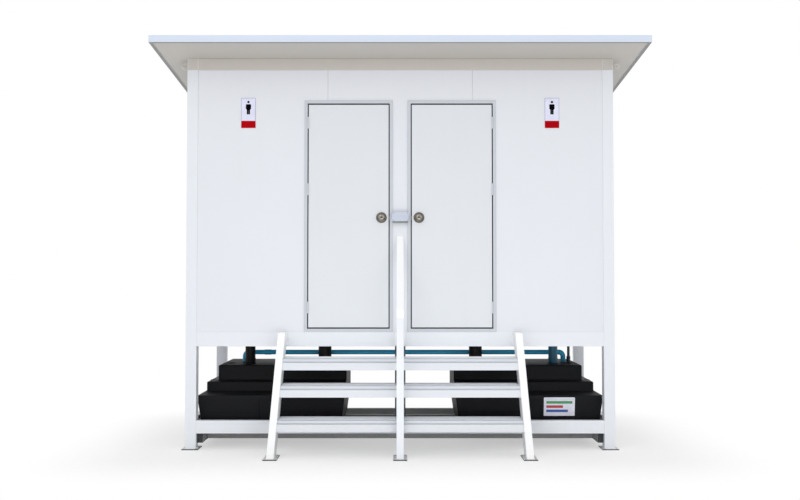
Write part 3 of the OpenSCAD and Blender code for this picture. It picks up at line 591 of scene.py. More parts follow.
class CabinStage(PropertyGroup):
    """Camera, lamps and ground of the studio."""

    distance: length("Distance", "Camera to the cabin's front", 8.26)
    eye: length("Eye height", "Height of the camera", 1.4707)
    aside: length("Eye aside", "Camera to the right of the middle", -0.0017)
    pitch: number("Pitch", "Upward tilt of the camera", math.radians(1.816), subtype="ANGLE")
    lens: number("Lens", "Focal length on a 36 mm sensor", 42.56, unit="CAMERA")
    sky: number("Sky", "Strength of the even light", 0.81)
    shade: number("Shadow lift", "Share of white in the ground's shade", 0.5, min=0.0, max=1.0)
    key: number("Key lamp", "Power of the large front lamp", 66.0, unit="POWER")
    fill: number("Fill lamp", "Share of the key lamp's power on the other side", 0.45)
    low: number("Low lamp", "Power of the long lamp near the ground", 20.0, unit="POWER")
    ground: colour("ground", "Colour of the floor", 250, 250, 250)


def settings():
    """The three property groups on the scene."""
    scene = bpy.context.scene
    return scene.cabin_colours, scene.cabin_sizes, scene.cabin_stage


# Pieces


class CABIN_OT_steel(Operator):
    """Posts, rails, beams, legs and lugs with rounded tube edges, and weld seams."""

    bl_idname = "cabin.steel"
    bl_label = "Steel Frame"

    def execute(self, context):
        sizes = settings()[1]
        for node in POSTS:
            softened(node, "frame_paint", sizes.tube_edge, 3)
        for node in ("bottom_rails", "floor_beams", "floor_joists"):
            softened(node, "frame_paint", 0.004, 3)
        softened("lifting_lugs", "lug_paint")
        softened("roof_ring", "ring_beam_paint_and_shade", 0.003)
        softened("under_frame", "under_frame_paint", 0.003)
        # The centre leg's dark grey is painted shade.
        softened("centre_leg", "centre_leg_painted_shade", 0.004, 3)
        foot_plates("post_foot_plates")
        self.shaded_tube_ends(sizes.tube)
        self.weld_seams()
        # Bands of the ring beam's beige on the post tops are painted shade.
        self.top_bands()
        return {"FINISHED"}

    def shaded_tube_ends(self, tube):
        """Painted shade on the open ends of the dark frame's two side lengths: dark bars for the shade
        inside the tubes.
        """
        proud, edge = 0.0015, 0.001
        low, high = low_high("under_frame")
        shade_bars = [bar((x, y - proud, low[2]), (x + tube, y + proud, high[2]), edge)
                 for x in (low[0], high[0] - tube) for y in (low[1], high[1])]
        made_piece("under_frame_shaded_ends", shade_bars, "tube_end_painted_shade")

    def top_bands(self):
        """Painted shade of the roof round each front post's top: a band in the ring beam's darker beige,
        a rounded square a third of a millimetre outside the post, its upper edge cut to the roof's fall."""
        proud, corner, below_roof = 0.0003, 0.006, 0.001
        wall_high = low_high("panel_front_left")[1][2]
        grids = []
        for side in SIDES:
            low, high = low_high(f"post_front_{side}")
            flat = rounded_ring(low[0] - proud, high[0] + proud, low[1] - proud,
                                high[1] + proud, corner, 4, 2)
            top = high[2] - roof_fall() * (flat[:, 1] - low[1]) - below_roof
            grids.append(np.array([level_ring(flat, wall_high), level_ring(flat, top)]))
        made_piece("post_top_painted_shade", grids, "ring_beam_paint_and_shade")

    def weld_seams(self):
        """Weld round each post's foot: a small circle carried round the post's square, its
        radius rippled by a sine of the way travelled."""
        bead, ripple, ripple_step, corner = 0.0042, 0.0007, 1.7, 0.006
        around = full_turn(8)
        grids = []
        for node in POSTS:
            low, high = low_high(node)
            flat = rounded_ring(low[0], high[0], low[1], high[1], corner, 4, 40)
            out = unit(flat - flat.mean(axis=0))
            radius = bead + ripple * np.sin(np.arange(len(flat)) * ripple_step)
            reach = (radius[:, None] * np.cos(around))[:, :, None]
            height = low[2] - radius[:, None] * np.sin(around)
            ring = np.dstack([flat[:, None] + out[:, None] * reach, height])
            grids.append(np.concatenate([ring, ring[:1]]))
        made_piece("post_foot_welds", grids, "frame_paint")


def foot_plates(node):
    """Foot plates, pale above and below and near black on their side faces."""
    repainted(softened(node, "foot_plate_paint", 0.0008, 1), "plate_dark_side_faces", lambda up: abs(up) < 0.5)


class CABIN_OT_walls(Operator):
    """Wall panels with soft edges and sealed joints, and the wall between the rooms."""

    bl_idname = "cabin.walls"
    bl_label = "Wall Panels"

    def execute(self, context):
        for node in ("panel_front_left", "panel_front_right", "panel_front_centre",
                     "panels_rear", "panel_side_left", "panel_side_right", "partition"):
            softened(node, "panel_skin", settings()[1].sheet_edge)
        self.joint_seals()
        return {"FINISHED"}

    def joint_seals(self):
        """Sealant in the joints of the front and the rear wall: thin upright bars."""
        half, edge, proud, deep, gap = 0.0025, 0.0012, 0.001, 0.004, 0.001
        low, high = low_high("panel_front_left")
        joint_x = low_high("panel_front_centre")[1][0] + gap
        door_top = low_high("door_frame_left")[1][2]
        seams = [(side * joint_x, low[1] - proud, low[1] + deep, door_top + gap, high[2] - gap)
                 for side in SIDES.values()]
        low, high = low_high("panels_rear")
        third = (high[0] - low[0]) / 3
        seams += [(x, high[1] - deep, high[1] + proud, low[2], high[2])
                  for x in (low[0] + third, high[0] - third)]
        grids = [bar((x - half, y0, z0), (x + half, y1, z1), edge) for x, y0, y1, z0, z1 in seams]
        made_piece("panel_joint_seals", grids, "joint_sealant")


class CABIN_OT_roof(Operator):
    """Roof panel with a plain soffit and a ribbed top, and the folded trim round it, whose downward faces
    are painted dark grey as shade.
    """

    bl_idname = "cabin.roof"
    bl_label = "Roof"

    def execute(self, context):
        sizes = settings()[1]
        drawn_forward(softened("roof_panel", "soffit_skin", 0.001, 1), sizes.overhang)
        edging = softened("roof_fascia", "fascia_trim", sizes.sheet_edge)
        # The trim's downward faces take dark grey as painted shade.
        repainted(drawn_forward(edging, sizes.overhang), "trim_underside_painted_shade", lambda up: up < -0.5)
        self.ribbed_top(sizes.ribs, sizes.overhang)
        return {"FINISHED"}

    def ribbed_top(self, count, overhang):
        """Upper skin: height = plane + rib(x), where rib is a raised bump of 6 mm at even
        distances across the roof; the profile is carried down the slope and closed below."""
        margin, sheet, rib, rib_steep, rib_wide = 0.034, 0.001, 0.006, 26, 1.4
        low, high = low_high("roof_panel")
        x = np.linspace(low[0] + margin, high[0] - margin, 60 * count)
        phase = (x - low[0]) / (high[0] - low[0]) * count % 1.0 - 0.5
        rise = sheet + rib * np.clip(rib_wide - np.abs(phase) * rib_steep, 0.0, 1.0)
        profile = np.concatenate([np.stack([x, rise], 1), np.stack([x[::-1], x * 0], 1)])
        y = np.array([low[1] + margin - overhang, high[1] - margin])[:, None]
        grid = np.empty((2, len(profile), 3))
        grid[:, :, 0], grid[:, :, 1] = profile[:, 0], y
        grid[:, :, 2] = high[2] - roof_fall() * (y - low[1]) + profile[:, 1]
        made_piece("roof_top_ribs", [capped(grid)], "roof_top_skin", sharp=20)


def latch_way(side):
    """1 where the door's latch is to the right of its leaf's middle, or else -1."""
    (bolt_low, bolt_high), (low, high) = low_high(f"latch_bolt_{side}"), leaf_of(side)
    return 1.0 if bolt_low[0] + bolt_high[0] > low[0] + high[0] else -1.0


def leaf_of(side):
    """Corners of a door leaf."""
    return low_high(f"door_leaf_{side}")


class CABIN_OT_doors(Operator):
    """Door leaves and frames with rubber seals, whose dark also paints the shade in the gaps round the
    leaves.
    """

    bl_idname = "cabin.doors"
    bl_label = "Doors"

    def execute(self, context):
        for side in SIDES:
            softened(f"door_leaf_{side}", "door_paint", 0.0015)
            softened(f"door_frame_{side}", "door_frame_coat", 0.001)
            self.seal(side)
            self.strike_lip(side)
        return {"FINISHED"}

    def strike_lip(self, side):
        """Thin plate on the frame's face over the latch's notch."""
        near, far, margin, proud, sunk = 0.0103, 0.0235, 0.008, 0.0008, 0.0004
        low, high = leaf_of(side)
        bolt_low, bolt_high = low_high(f"latch_bolt_{side}")
        face = low_high(f"door_frame_{side}")[0][1]
        out = latch_way(side)
        edge = high[0] if out > 0 else low[0]
        x0, x1 = sorted((edge + out * near, edge + out * far))
        lip = bar((x0, face - proud, bolt_low[2] - margin),
                  (x1, face + sunk, bolt_high[2] + margin), sunk)
        made_piece(f"strike_lip_{side}", [lip], "door_frame_coat")

    def seal(self, side):
        """Rubber gasket in the rebate, its dark also standing for the gap's shade: a thin L carried round
        the gap beside the leaf, from just above the latch round to just below it."""
        gap, clear, latch_clear, thick = 0.010, 0.0002, 0.012, 0.0005
        low, high = leaf_of(side)
        opening_low, opening_high = low_high(f"door_frame_{side}")
        spare = ((opening_high - opening_low) - (high - low)) / 2
        gap_x, gap_z = gap - clear, spare[2] - (spare[0] - gap)
        bolt_low, bolt_high = low_high(f"latch_bolt_{side}")
        cuts = (bolt_low[2] - latch_clear, bolt_high[2] + latch_clear)
        latch = latch_way(side)
        front, stop = low[1] + 0.002, high[1] + 0.0004
        profile = [(1.0, front), (1.0, stop + thick), (-0.6, stop + thick),
                   (-0.6, stop), (0.94, stop), (0.94, front)]
        middle, half = (low + high) / 2, (high - low) / 2
        rings = []
        for across, height in ((latch, cuts[1]), (latch, 1), (-latch, 1), (-latch, -1),
                               (latch, -1), (latch, cuts[0])):
            rings.append([(middle[0] + across * (half[0] + out * gap_x), y,
                           height if height in cuts
                           else middle[2] + height * (half[2] + out * gap_z))
                          for out, y in profile])
        made_piece(f"door_seal_{side}", [capped(np.array(rings))], "gap_rubber_and_shade")


class CABIN_OT_hinges(Operator):
    """Hinge plates, knuckles and pins of both doors."""

    bl_idname = "cabin.hinges"
    bl_label = "Hinges"

    def execute(self, context):
        for side in SIDES:
            for kind, material in (("frame_hinges", "hinge_paint"), ("leaf_hinges", "hinge_paint"),
                                   ("hinge_pins", "pin_steel")):
                softened(f"{kind}_{side}", material, 0.0004, 1)
        return {"FINISHED"}


class CABIN_OT_knobs(Operator):
    """Turned door knobs with their roses, key holes and latch bolts."""

    bl_idname = "cabin.knobs"
    bl_label = "Door Knobs"

    def execute(self, context):
        for side in SIDES:
            low, high = low_high(f"knob_{side}")
            leaf_low, leaf_high = leaf_of(side)
            rose_low, rose_high = low_high(f"knob_roses_{side}")
            radius = (rose_high[0] - rose_low[0]) / 2 + settings()[1].rose_rim
            x, _, z = (low + high) / 2
            knobs, roses = [], []
            for face, end, way in ((leaf_low[1], low[1], -1.0), (leaf_high[1], high[1], 1.0)):
                profile = self.knob_profile(abs(end - face))
                knobs.append(lathe(profile, (x, face, z), (0, way, 0), 48))
                roses.append(lathe(self.rose_profile(radius), (x, face, z), (0, way, 0), 56))
            knobs.append(self.spindle(x, leaf_low[1], z))
            stand_in(f"knob_{side}", f"knob_{side}_turned", knobs, "knob_steel", 30)
            stand_in(f"knob_roses_{side}", f"knob_rose_{side}_turned", roses, "rose_steel", 30)
            self.lock(side, x, low[1], z)
            softened(f"latch_bolt_{side}", "knob_steel", 0.0004, 1)
        return {"FINISHED"}

    def spindle(self, x, face, z):
        """Round spindle between the two knobs."""
        radius, long, before = 0.0099, 0.066, 0.0132
        profile = [(0.0, 0.0), (radius, 0.0), (radius, long), (0.0, long)]
        return lathe(profile, (x, face - before, z), (0, 1, 0), 24)

    def lock(self, side, x, y, z):
        """Lock barrel in the outer knob's end and the upright slot for the key."""
        half_wide, half_tall, proud, deep = 0.0007, 0.0045, 0.0003, 0.002
        radius, long, lift = 0.0095, 0.004, 0.0001
        body = BODY_OF[f"knob_{side}"]
        slot = bar((x - half_wide, y - proud, z - half_tall),
                   (x + half_wide, y + deep, z + half_tall), proud)
        barrel = lathe([(0.0, -long), (radius, -long), (radius, 0.0), (0.0, lift)],
                       (x, y + lift, z), (0, -1, 0), 28)
        made_piece(f"key_slot_{side}", [slot], "key_hole_black", body)
        made_piece(f"lock_barrel_{side}", [barrel], "rose_steel", body)

    def knob_profile(self, reach):
        """Knob outline: a neck, then a flattened ball, r = R (1 - |t|^2.6)^(1/2.2) about its
        middle, dished at the end."""
        ball_radius, half_long, widest = 0.027, 0.0165, 0.93
        t = np.linspace(-widest, widest, 26)
        ball = ball_radius * (1 - np.abs(t) ** 2.6) ** (1 / 2.2)
        height = reach - half_long + t * half_long
        neck = [(0.0, 0.0144), (0.0135, 0.0144), (0.0135, 0.017), (0.0112, 0.020), (0.0112, 0.026)]
        dish = [(0.0125, reach - 0.0012), (0.0110, reach - 0.0020), (0.0, reach - 0.0022)]
        return np.concatenate([neck, np.stack([ball, height], 1)[2:], dish])

    def rose_profile(self, radius):
        """Rose outline: a rolled rim, a shallow cove and a collar round the spindle."""
        roll, foot, bore = 0.0035, 0.002, 0.0104
        t, slope = quarter_turn(7), np.linspace(0.0, 1.0, 10)
        rim = np.stack([radius - roll + roll * np.cos(t), foot + roll * np.sin(t)], 1)
        cove = np.stack([radius - 0.005 - (radius - 0.026) * slope,
                         foot + roll + 0.0070 * slope ** 1.8], 1)
        collar = [(0.0195, 0.0140), (0.0106, 0.0140), (bore, 0.0005)]
        return np.concatenate([[(bore, 0.0), (radius, 0.0)], rim, cove, collar])


class CABIN_OT_switch_box(Operator):
    """Grey surface box between the doors with its cover and screws, and a painted shadow below it."""

    bl_idname = "cabin.switch_box"
    bl_label = "Switch Box"

    def execute(self, context):
        for node in ("switch_box", "switch_box_cover"):
            softened(node, "switch_box_plastic", 0.002, 3)
        low, high = low_high("switch_box_cover")
        self.screws(low, high)
        self.strip(low, high)
        return {"FINISHED"}

    def screws(self, low, high):
        """Domed screw in each corner of the cover."""
        aside, up = 0.010, 0.009
        head = [(0.0038, -0.002), (0.0038, 0.0004), (0.0028, 0.0012), (0.0, 0.0015)]
        grids = [lathe(head, (x, low[1], z), (0, -1, 0), 16)
                 for x in (low[0] + aside, high[0] - aside) for z in (low[2] + up, high[2] - up)]
        made_piece("switch_box_screws", grids, "pin_steel")

    def strip(self, low, high):
        """Painted shadow below the box: a grey strip, a rounded bar back to the wall."""
        inset, tall, lap = 0.004, 0.012, 0.001
        back = low_high("switch_box")[1][1]
        strip = bar((low[0] + inset, low[1] + inset, low[2] - tall),
                    (high[0] - inset, back, low[2] + lap), inset, 0)
        made_piece("switch_box_painted_shadow", [strip], "box_painted_shadow")


class CABIN_OT_signs(Operator):
    """Door signs: a pale plate with a coloured band and a standing figure."""

    bl_idname = "cabin.signs"
    bl_label = "Signs"

    # Middle, width, bottom, top and corner radius of each part, as shares of the height.
    FIGURE = (
        (0.0, 0.175, 0.825, 1.0, 0.0875),
        (0.0, 0.385, 0.375, 0.755, 0.065),
        (0.0, 0.280, 0.330, 0.600, 0.050),
        (-0.062, 0.116, 0.0, 0.50, 0.040),
        (0.062, 0.116, 0.0, 0.50, 0.040),
    )

    def execute(self, context):
        sizes = settings()[1]
        half, lift, rim_wide, foot, head = 0.063, 0.004, 0.003, 0.146, 0.026
        for side, sign in SIDES.items():
            low, high = low_high(f"sign_{side}")
            middle = sign * sizes.sign_at
            x0, x1 = middle - half, middle + half
            bottom, top, front = low[2] + lift, high[2] + lift, low[1]
            split = bottom + sizes.band
            plate = self.plate(x0, x1, split, top, front, high[1])
            lower = self.plate(x0, x1, bottom, split, front, high[1])
            face = self.plate(x0 + rim_wide, x1 - rim_wide, split + 0.0005, top - rim_wide,
                              front - 0.0004, front + 0.001)
            figure = self.figure(middle, top - foot, top - head, front - 0.0005)
            stand_in(f"sign_{side}", f"sign_{side}_plate", [plate], "sign_rim_grey")
            for part, grids, material in (("face", [face], "sign_ground"),
                                          ("band", [lower], "sign_band_red"),
                                          ("figure", figure, "sign_ink")):
                made_piece(f"sign_{side}_{part}", grids, material)
        return {"FINISHED"}

    def plate(self, x0, x1, z0, z1, y0, y1):
        """Flat plate with rounded corners, a rounded ring carried from back to front."""
        return capped(upright_rings(rounded_ring(x0, x1, z0, z1, 0.003, 4), y1, y0))

    def figure(self, x, z0, z1, y):
        """Standing figure built of upright rounded bars and a disc, each a ring carried from
        back to front, and each a little before the one under it."""
        tall, sunk, step = z1 - z0, 0.0008, 0.00015
        grids = []
        for lift, (middle, wide, low, high, radius) in enumerate(self.FIGURE):
            flat = rounded_ring(x + (middle - wide / 2) * tall, x + (middle + wide / 2) * tall,
                                z0 + low * tall, z0 + high * tall, radius * tall)
            grids.append(capped(upright_rings(flat, y + sunk, y - lift * step)))
        return grids


class CABIN_OT_stairs(Operator):
    """Stringers, ribbed treads, foot plates, newel and handrail."""

    bl_idname = "cabin.stairs"
    bl_label = "Stair"

    def execute(self, context):
        for node in ("stringer_left", "stringer_right"):
            softened(node, "stair_white_and_light", 0.0015)
        # The newel is in the frame's darker white and the stringer and handrail in the stair's brighter
        # one: shaded and lit copies of one white.
        for node, material in (("newel_post", "frame_paint"), ("stringer_middle", "stair_white_and_light"),
                               ("handrail", "stair_white_and_light")):
            softened(node, material, 0.005, 3)
        for side in SIDES:
            softened(f"treads_{side}", "tread_paint", 0.0012)
            for family, grids in self.tread_bars(side).items():
                made_piece(f"{family}_{side}", grids, family + "_paint")
        foot_plates("stair_foot_plates")
        return {"FINISHED"}

    def tread_bars(self, side):
        """Raised grip ribs on each tread, whiter than the tread as painted light on its top, and along
        its nosing a band between two dark lines of painted shade for grooves: thin rounded bars along the
        tread."""
        tread_deep, rib_half, rib_high, rib_low = 0.219, 0.0016, 0.0014, 0.002
        # Each bar's family, lower and upper edge from the tread's top, and how far it is proud.
        nosing = (("nosing_grooves", -0.0045, 0.0003, 0.0004),
                  ("tread_nosings", -0.0265, -0.0050, 0.0008),
                  ("nosing_grooves", -0.0325, -0.0270, 0.0004))
        grids = {"tread_ribs": [], "tread_nosings": [], "nosing_grooves": []}
        points = corners_of(frame["nodes"][f"treads_{side}"].data)
        for top in sorted(set(np.round(points[:, 2], 4))):
            level = points[np.abs(points[:, 2] - top) < 1e-4]
            inner, front, _ = level.min(axis=0)
            outer, back, _ = level.max(axis=0)
            if len(level) < 4 or back - front < tread_deep:
                continue
            for y in np.linspace(front + 0.022, back - 0.018, 12):
                grids["tread_ribs"].append(
                    bar((inner + 0.012, y - rib_half, top - rib_low),
                        (outer - 0.014, y + rib_half, top + rib_high), rib_half / 2, 0, 2))
            for family, low, high, proud in nosing:
                grids[family].append(bar((inner, front - proud, top + low),
                                         (outer, front + 0.001, top + high), 0.0003, 0, 2))
        return grids


class CABIN_OT_tanks(Operator):
    """Stepped black tanks, moulded in one, and the plain label of the right one."""

    bl_idname = "cabin.tanks"
    bl_label = "Tanks"

    # Heights of the two shoulders and of the walls' feet behind them, and how far front and
    # outer side of each tier stand in from the lowest one.
    SHOULDERS = ((0.456, 0.466), (0.549, 0.558))
    TIERS = ((0.0, 0.0), (0.250, 0.035), (0.330, 0.124))
    # Where the upright groove runs down the front.
    GROOVE_X = 1.237
    # Name, left, right, bottom, top, corner radius and lift of each layer of the label.
    LABEL = (
        ("border", 0.0, 1.0, 0.0, 1.0, 0.006, 0.0),
        ("ground", 0.02, 0.98, 0.035, 0.965, 0.004, 0.0004),
        ("green_bar", 0.08, 0.92, 0.66, 0.80, 0.002, 0.0008),
        ("red_bar", 0.08, 0.62, 0.43, 0.57, 0.002, 0.0008),
        ("blue_bar", 0.08, 0.78, 0.20, 0.34, 0.002, 0.0008),
    )

    def execute(self, context):
        sizes = settings()[1]
        for side, sign in SIDES.items():
            grids = [self.shell(sizes), *self.bosses()]
            if sign < 0:
                grids = [mirrored(grid) for grid in grids]
            stand_in(f"tank_{side}", f"tank_{side}_moulded", grids, "tank_plastic", 50)
        self.label(sizes)
        return {"FINISHED"}

    def label(self, sizes):
        """Plain label on the right tank: a pale ground with a white border and three coloured
        bars, rounded plates laid one on the other on the tapered front."""
        x0, x1, z0, z1, thick = 1.265, 1.537, 0.2745, 0.438, 0.0012
        wide, tall = x1 - x0, z1 - z0
        base = low_high("tank_right")[0]
        taper_top = self.SHOULDERS[0][0] - sizes.tank_edge
        for name, left, right, low, high, radius, lift in self.LABEL:
            flat = rounded_ring(x0 + left * wide, x0 + right * wide, z0 + low * tall,
                                z0 + high * tall, radius, 4)
            taper = sizes.tank_draft * (1 - (flat[:, 1] - base[2]) / (taper_top - base[2]))
            y = base[1] + sizes.tank_back + taper - thick / 2 - lift
            made_piece(f"tank_label_{name}", [capped(upright_rings(flat, y + thick, y))],
                       f"label_{name}_film")

    def bosses(self):
        """Oval rings moulded on the three tiers: a small circle carried round an ellipse."""
        half_wide, half_deep, thick = 0.034, 0.020, 0.0035
        turn = np.linspace(0.0, 2 * np.pi, 41)
        oval = np.stack([half_wide * np.cos(turn), half_deep * np.sin(turn), turn * 0], 1)
        middles = ((1.710, 0.308, 0.4565), (1.712, 0.504, 0.5495), (1.584, 0.657, 0.6915))
        return [pipe_along(oval + (x, FRONT_Y + y, z), thick, (0.0, 0.0, 1.0), 8) for x, y, z in middles]

    def shell(self, sizes):
        """Tank skin: rounded rectangles stacked by height. Inner side and back stay upright,
        while front and outer side step in over a quarter circle at each shoulder."""
        low, high = low_high("tank_right")
        front, back = low[1] + sizes.tank_back, high[1] + sizes.tank_back
        outer, inner = high[0] + sizes.tank_wide, low[0]
        edge, draft, base = sizes.tank_edge, sizes.tank_draft, low[2]
        sine, fall = np.sin(quarter_turn(6)), 1 - np.cos(quarter_turn(6))
        # Height, then how far inner side and back, front, and outer side are drawn in.
        rows = [(base + up, draft + by, draft + by, draft + by)
                for up, by in ((0.0, 0.02), (0.006, 0.006), (0.02, -0.002))]
        rise = self.SHOULDERS[0][0] - edge - base
        rows += [(base + rise * t, *[draft * (1 - t)] * 3) for t in (0.3, 0.6, 0.9, 1.0)]
        for (top, foot), (ahead, aside), (ahead_on, aside_on) in zip(
                self.SHOULDERS, self.TIERS, self.TIERS[1:]):
            side_edge = min(edge, (aside_on - aside) * 0.45)
            rows += [(top - edge + edge * s, 0.0, ahead + edge * f, aside + side_edge * f)
                     for s, f in zip(sine, fall)]
            rows += [(foot - 0.004, 0.0, ahead_on - 0.012, aside_on - 0.008),
                     (foot, 0.0, ahead_on - 0.003, aside_on - 0.002),
                     (foot + 0.01, 0.0, ahead_on, aside_on)]
        ahead, aside = self.TIERS[-1]
        rows += [(high[2] - edge + edge * s, edge * f, ahead + edge * f, aside + edge * f)
                 for s, f in zip(sine, fall)]
        near = (self.GROOVE_X - inner) / (outer - inner) + np.linspace(-0.035, 0.035, 29)
        along = np.sort(np.r_[np.linspace(0.0, 1.0, 31)[1:-1], near])
        even = np.linspace(0.0, 1.0, 13)[1:-1]
        grid = np.array([
            level_ring(rounded_ring(inner + inset, outer - inset_outer, front + inset_front,
                                    back - inset, edge * 1.3, 6, [even, even, along, even]), z)
            for z, inset, inset_front, inset_outer in rows])
        return capped(self.front_relief(grid, inner, base))

    def front_relief(self, grid, inner, base):
        """Draws the lowest tier's front back by an upright groove, a raised cosine of x, and
        by a flat panel between the groove and the inner side."""
        groove_half, groove_deep, panel_deep, panel_top, fade = 0.010, 0.006, 0.005, 0.42, 0.02
        x, y, z = np.moveaxis(grid, -1, 0)
        on_front = np.clip(1 - (y - y.min(axis=1)[:, None]) / 0.004, 0, 1)
        groove = 0.5 + 0.5 * np.cos(np.clip((x - self.GROOVE_X) / groove_half, -1, 1) * np.pi)
        panel = (np.clip((self.GROOVE_X + 0.003 - x) / groove_half, 0, 1)
                 * np.clip((x - inner - 0.05) / fade, 0, 1))
        tall = np.clip((z - base - fade) / fade, 0, 1) * np.clip((panel_top - z) / fade, 0, 1)
        y += on_front * tall * (groove_deep * groove + panel_deep * panel)
        return grid


class CABIN_OT_pipes(Operator):
    """Soil, drain, link and water pipes with sockets, elbows and nuts."""

    bl_idname = "cabin.pipes"
    bl_label = "Pipes"

    def execute(self, context):
        self.soil()
        self.drain("left", "soil_pipe_plastic", 0.004)
        # The right drain pipe's darker teal is painted shade on blue pipe.
        self.drain("right", "drain_pipe_shaded_blue", 0.0)
        self.link()
        self.water()
        return {"FINISHED"}

    def soil(self):
        """Soil pipes: straight lathed sleeves with three bands and a foot collar."""
        low, high = low_high("soil_pipes")
        radius, tall = (high[1] - low[1]) / 2 + 0.002, high[2] - low[2]
        body, bore, band = radius - 0.004, radius - 0.008, radius - 0.0005
        profile = [(body, 0.0), (radius, 0.0), (radius, 0.03), (body, 0.034)]
        for middle in (0.30 * tall, 0.55 * tall, 0.80 * tall):
            profile += [(body, middle - 0.006), (band, middle - 0.004),
                        (band, middle + 0.004), (body, middle + 0.006)]
        profile += [(body, tall), (bore, tall), (bore, 0.0), (body, 0.0)]
        inset, y = radius - 0.002, (low[1] + high[1]) / 2
        grids = [lathe(profile, (x, y, low[2]), sides=48) for x in (low[0] + inset, high[0] - inset)]
        stand_in("soil_pipes", "soil_pipes_lathed", grids, "soil_pipe_plastic")

    def drain(self, side, material, thicker):
        """Drain pipe: a straight pipe with a belled socket at its foot, as much thicker as the
        two pipes differ, and further right than its solid."""
        shift, wall = 0.014, 0.003
        low, high = low_high(f"drain_pipe_{side}")
        socket, tall = (high[1] - low[1]) / 2 + thicker, high[2] - low[2]
        radius = socket - 0.004
        profile = [(radius - wall, 0.0), (socket, 0.0), (socket, 0.036), (socket - 0.001, 0.040),
                   (radius + 0.001, 0.045), (radius, 0.052), (radius, tall),
                   (radius - wall, tall), (radius - wall, 0.0)]
        x, y, _ = (low + high) / 2
        stand_in(f"drain_pipe_{side}", f"drain_pipe_{side}_lathed",
                 [lathe(profile, (x + shift, y, low[2]), sides=40)], material)

    def link(self):
        """Link pipe: a circle carried along a line with a quarter circle down at each end,
        its radius raised at elbows and couplings."""
        bend, sleeve, lift = 0.040, 0.029, 0.007
        low, high = low_high("link_pipe")
        socket = (high[1] - low[1]) / 2 + 0.003
        radius = socket - 0.002
        y, z, foot = (low[1] + high[1]) / 2, high[2] - socket + lift, low[2]
        x0, x1 = low[0] + socket, high[0] - socket
        sine, cosine = np.sin(quarter_turn(11)), np.cos(quarter_turn(11))
        start = [[x0, foot], [x0, foot + 0.01], [x0, z - bend - 0.001]]
        elbow = np.stack([x0 + bend - bend * cosine, z - bend + bend * sine], 1)
        end = [[x0 + bend + sleeve, z], [x0 + bend + sleeve + 0.001, z]]
        half = np.concatenate([start, elbow, end])
        flat = np.concatenate([half, (half * (-1, 1) + (x0 + x1, 0))[::-1]])
        wide = np.full(len(flat), socket)
        wide[len(half) - 1:len(half) + 1] = radius
        path = np.column_stack([flat[:, 0], np.full(len(flat), y), flat[:, 1]])
        body = capped(pipe_along(path, wide, (0.0, 1.0, 0.0)))
        rim, half_long = socket + 0.001, 0.03
        coupling = lathe([(radius, -half_long), (rim, -half_long), (rim, -0.004),
                          (socket, -0.003), (socket, 0.003), (rim, 0.004), (rim, half_long),
                          (radius, half_long)], (x0 + 0.22, y, z), (1, 0, 0), 28)
        stand_in("link_pipe", "link_pipe_swept", [body, coupling], "link_pipe_plastic", 35)

    def water(self):
        """Water pipe: a lathed pipe with a six-sided union nut above the tank."""
        low, high = low_high("water_pipe")
        wide, tall = (high[0] - low[0]) / 2, high[2] - low[2]
        thin, foot = wide - 0.007, ((low[0] + high[0]) / 2, (low[1] + high[1]) / 2, low[2])
        straight = lathe([(0.0, 0.0), (wide - 0.002, 0.0), (wide - 0.002, 0.015),
                          (wide - 0.004, 0.018), (thin + 0.001, 0.020), (thin, 0.060),
                          (thin, tall), (0.0, tall)], foot, sides=28)
        nut = lathe([(thin, 0.020), (wide, 0.022), (wide, 0.050), (thin + 0.001, 0.054)], foot, sides=6)
        stand_in("water_pipe", "water_pipe_lathed", [straight, nut], "water_pipe_plastic", 30)


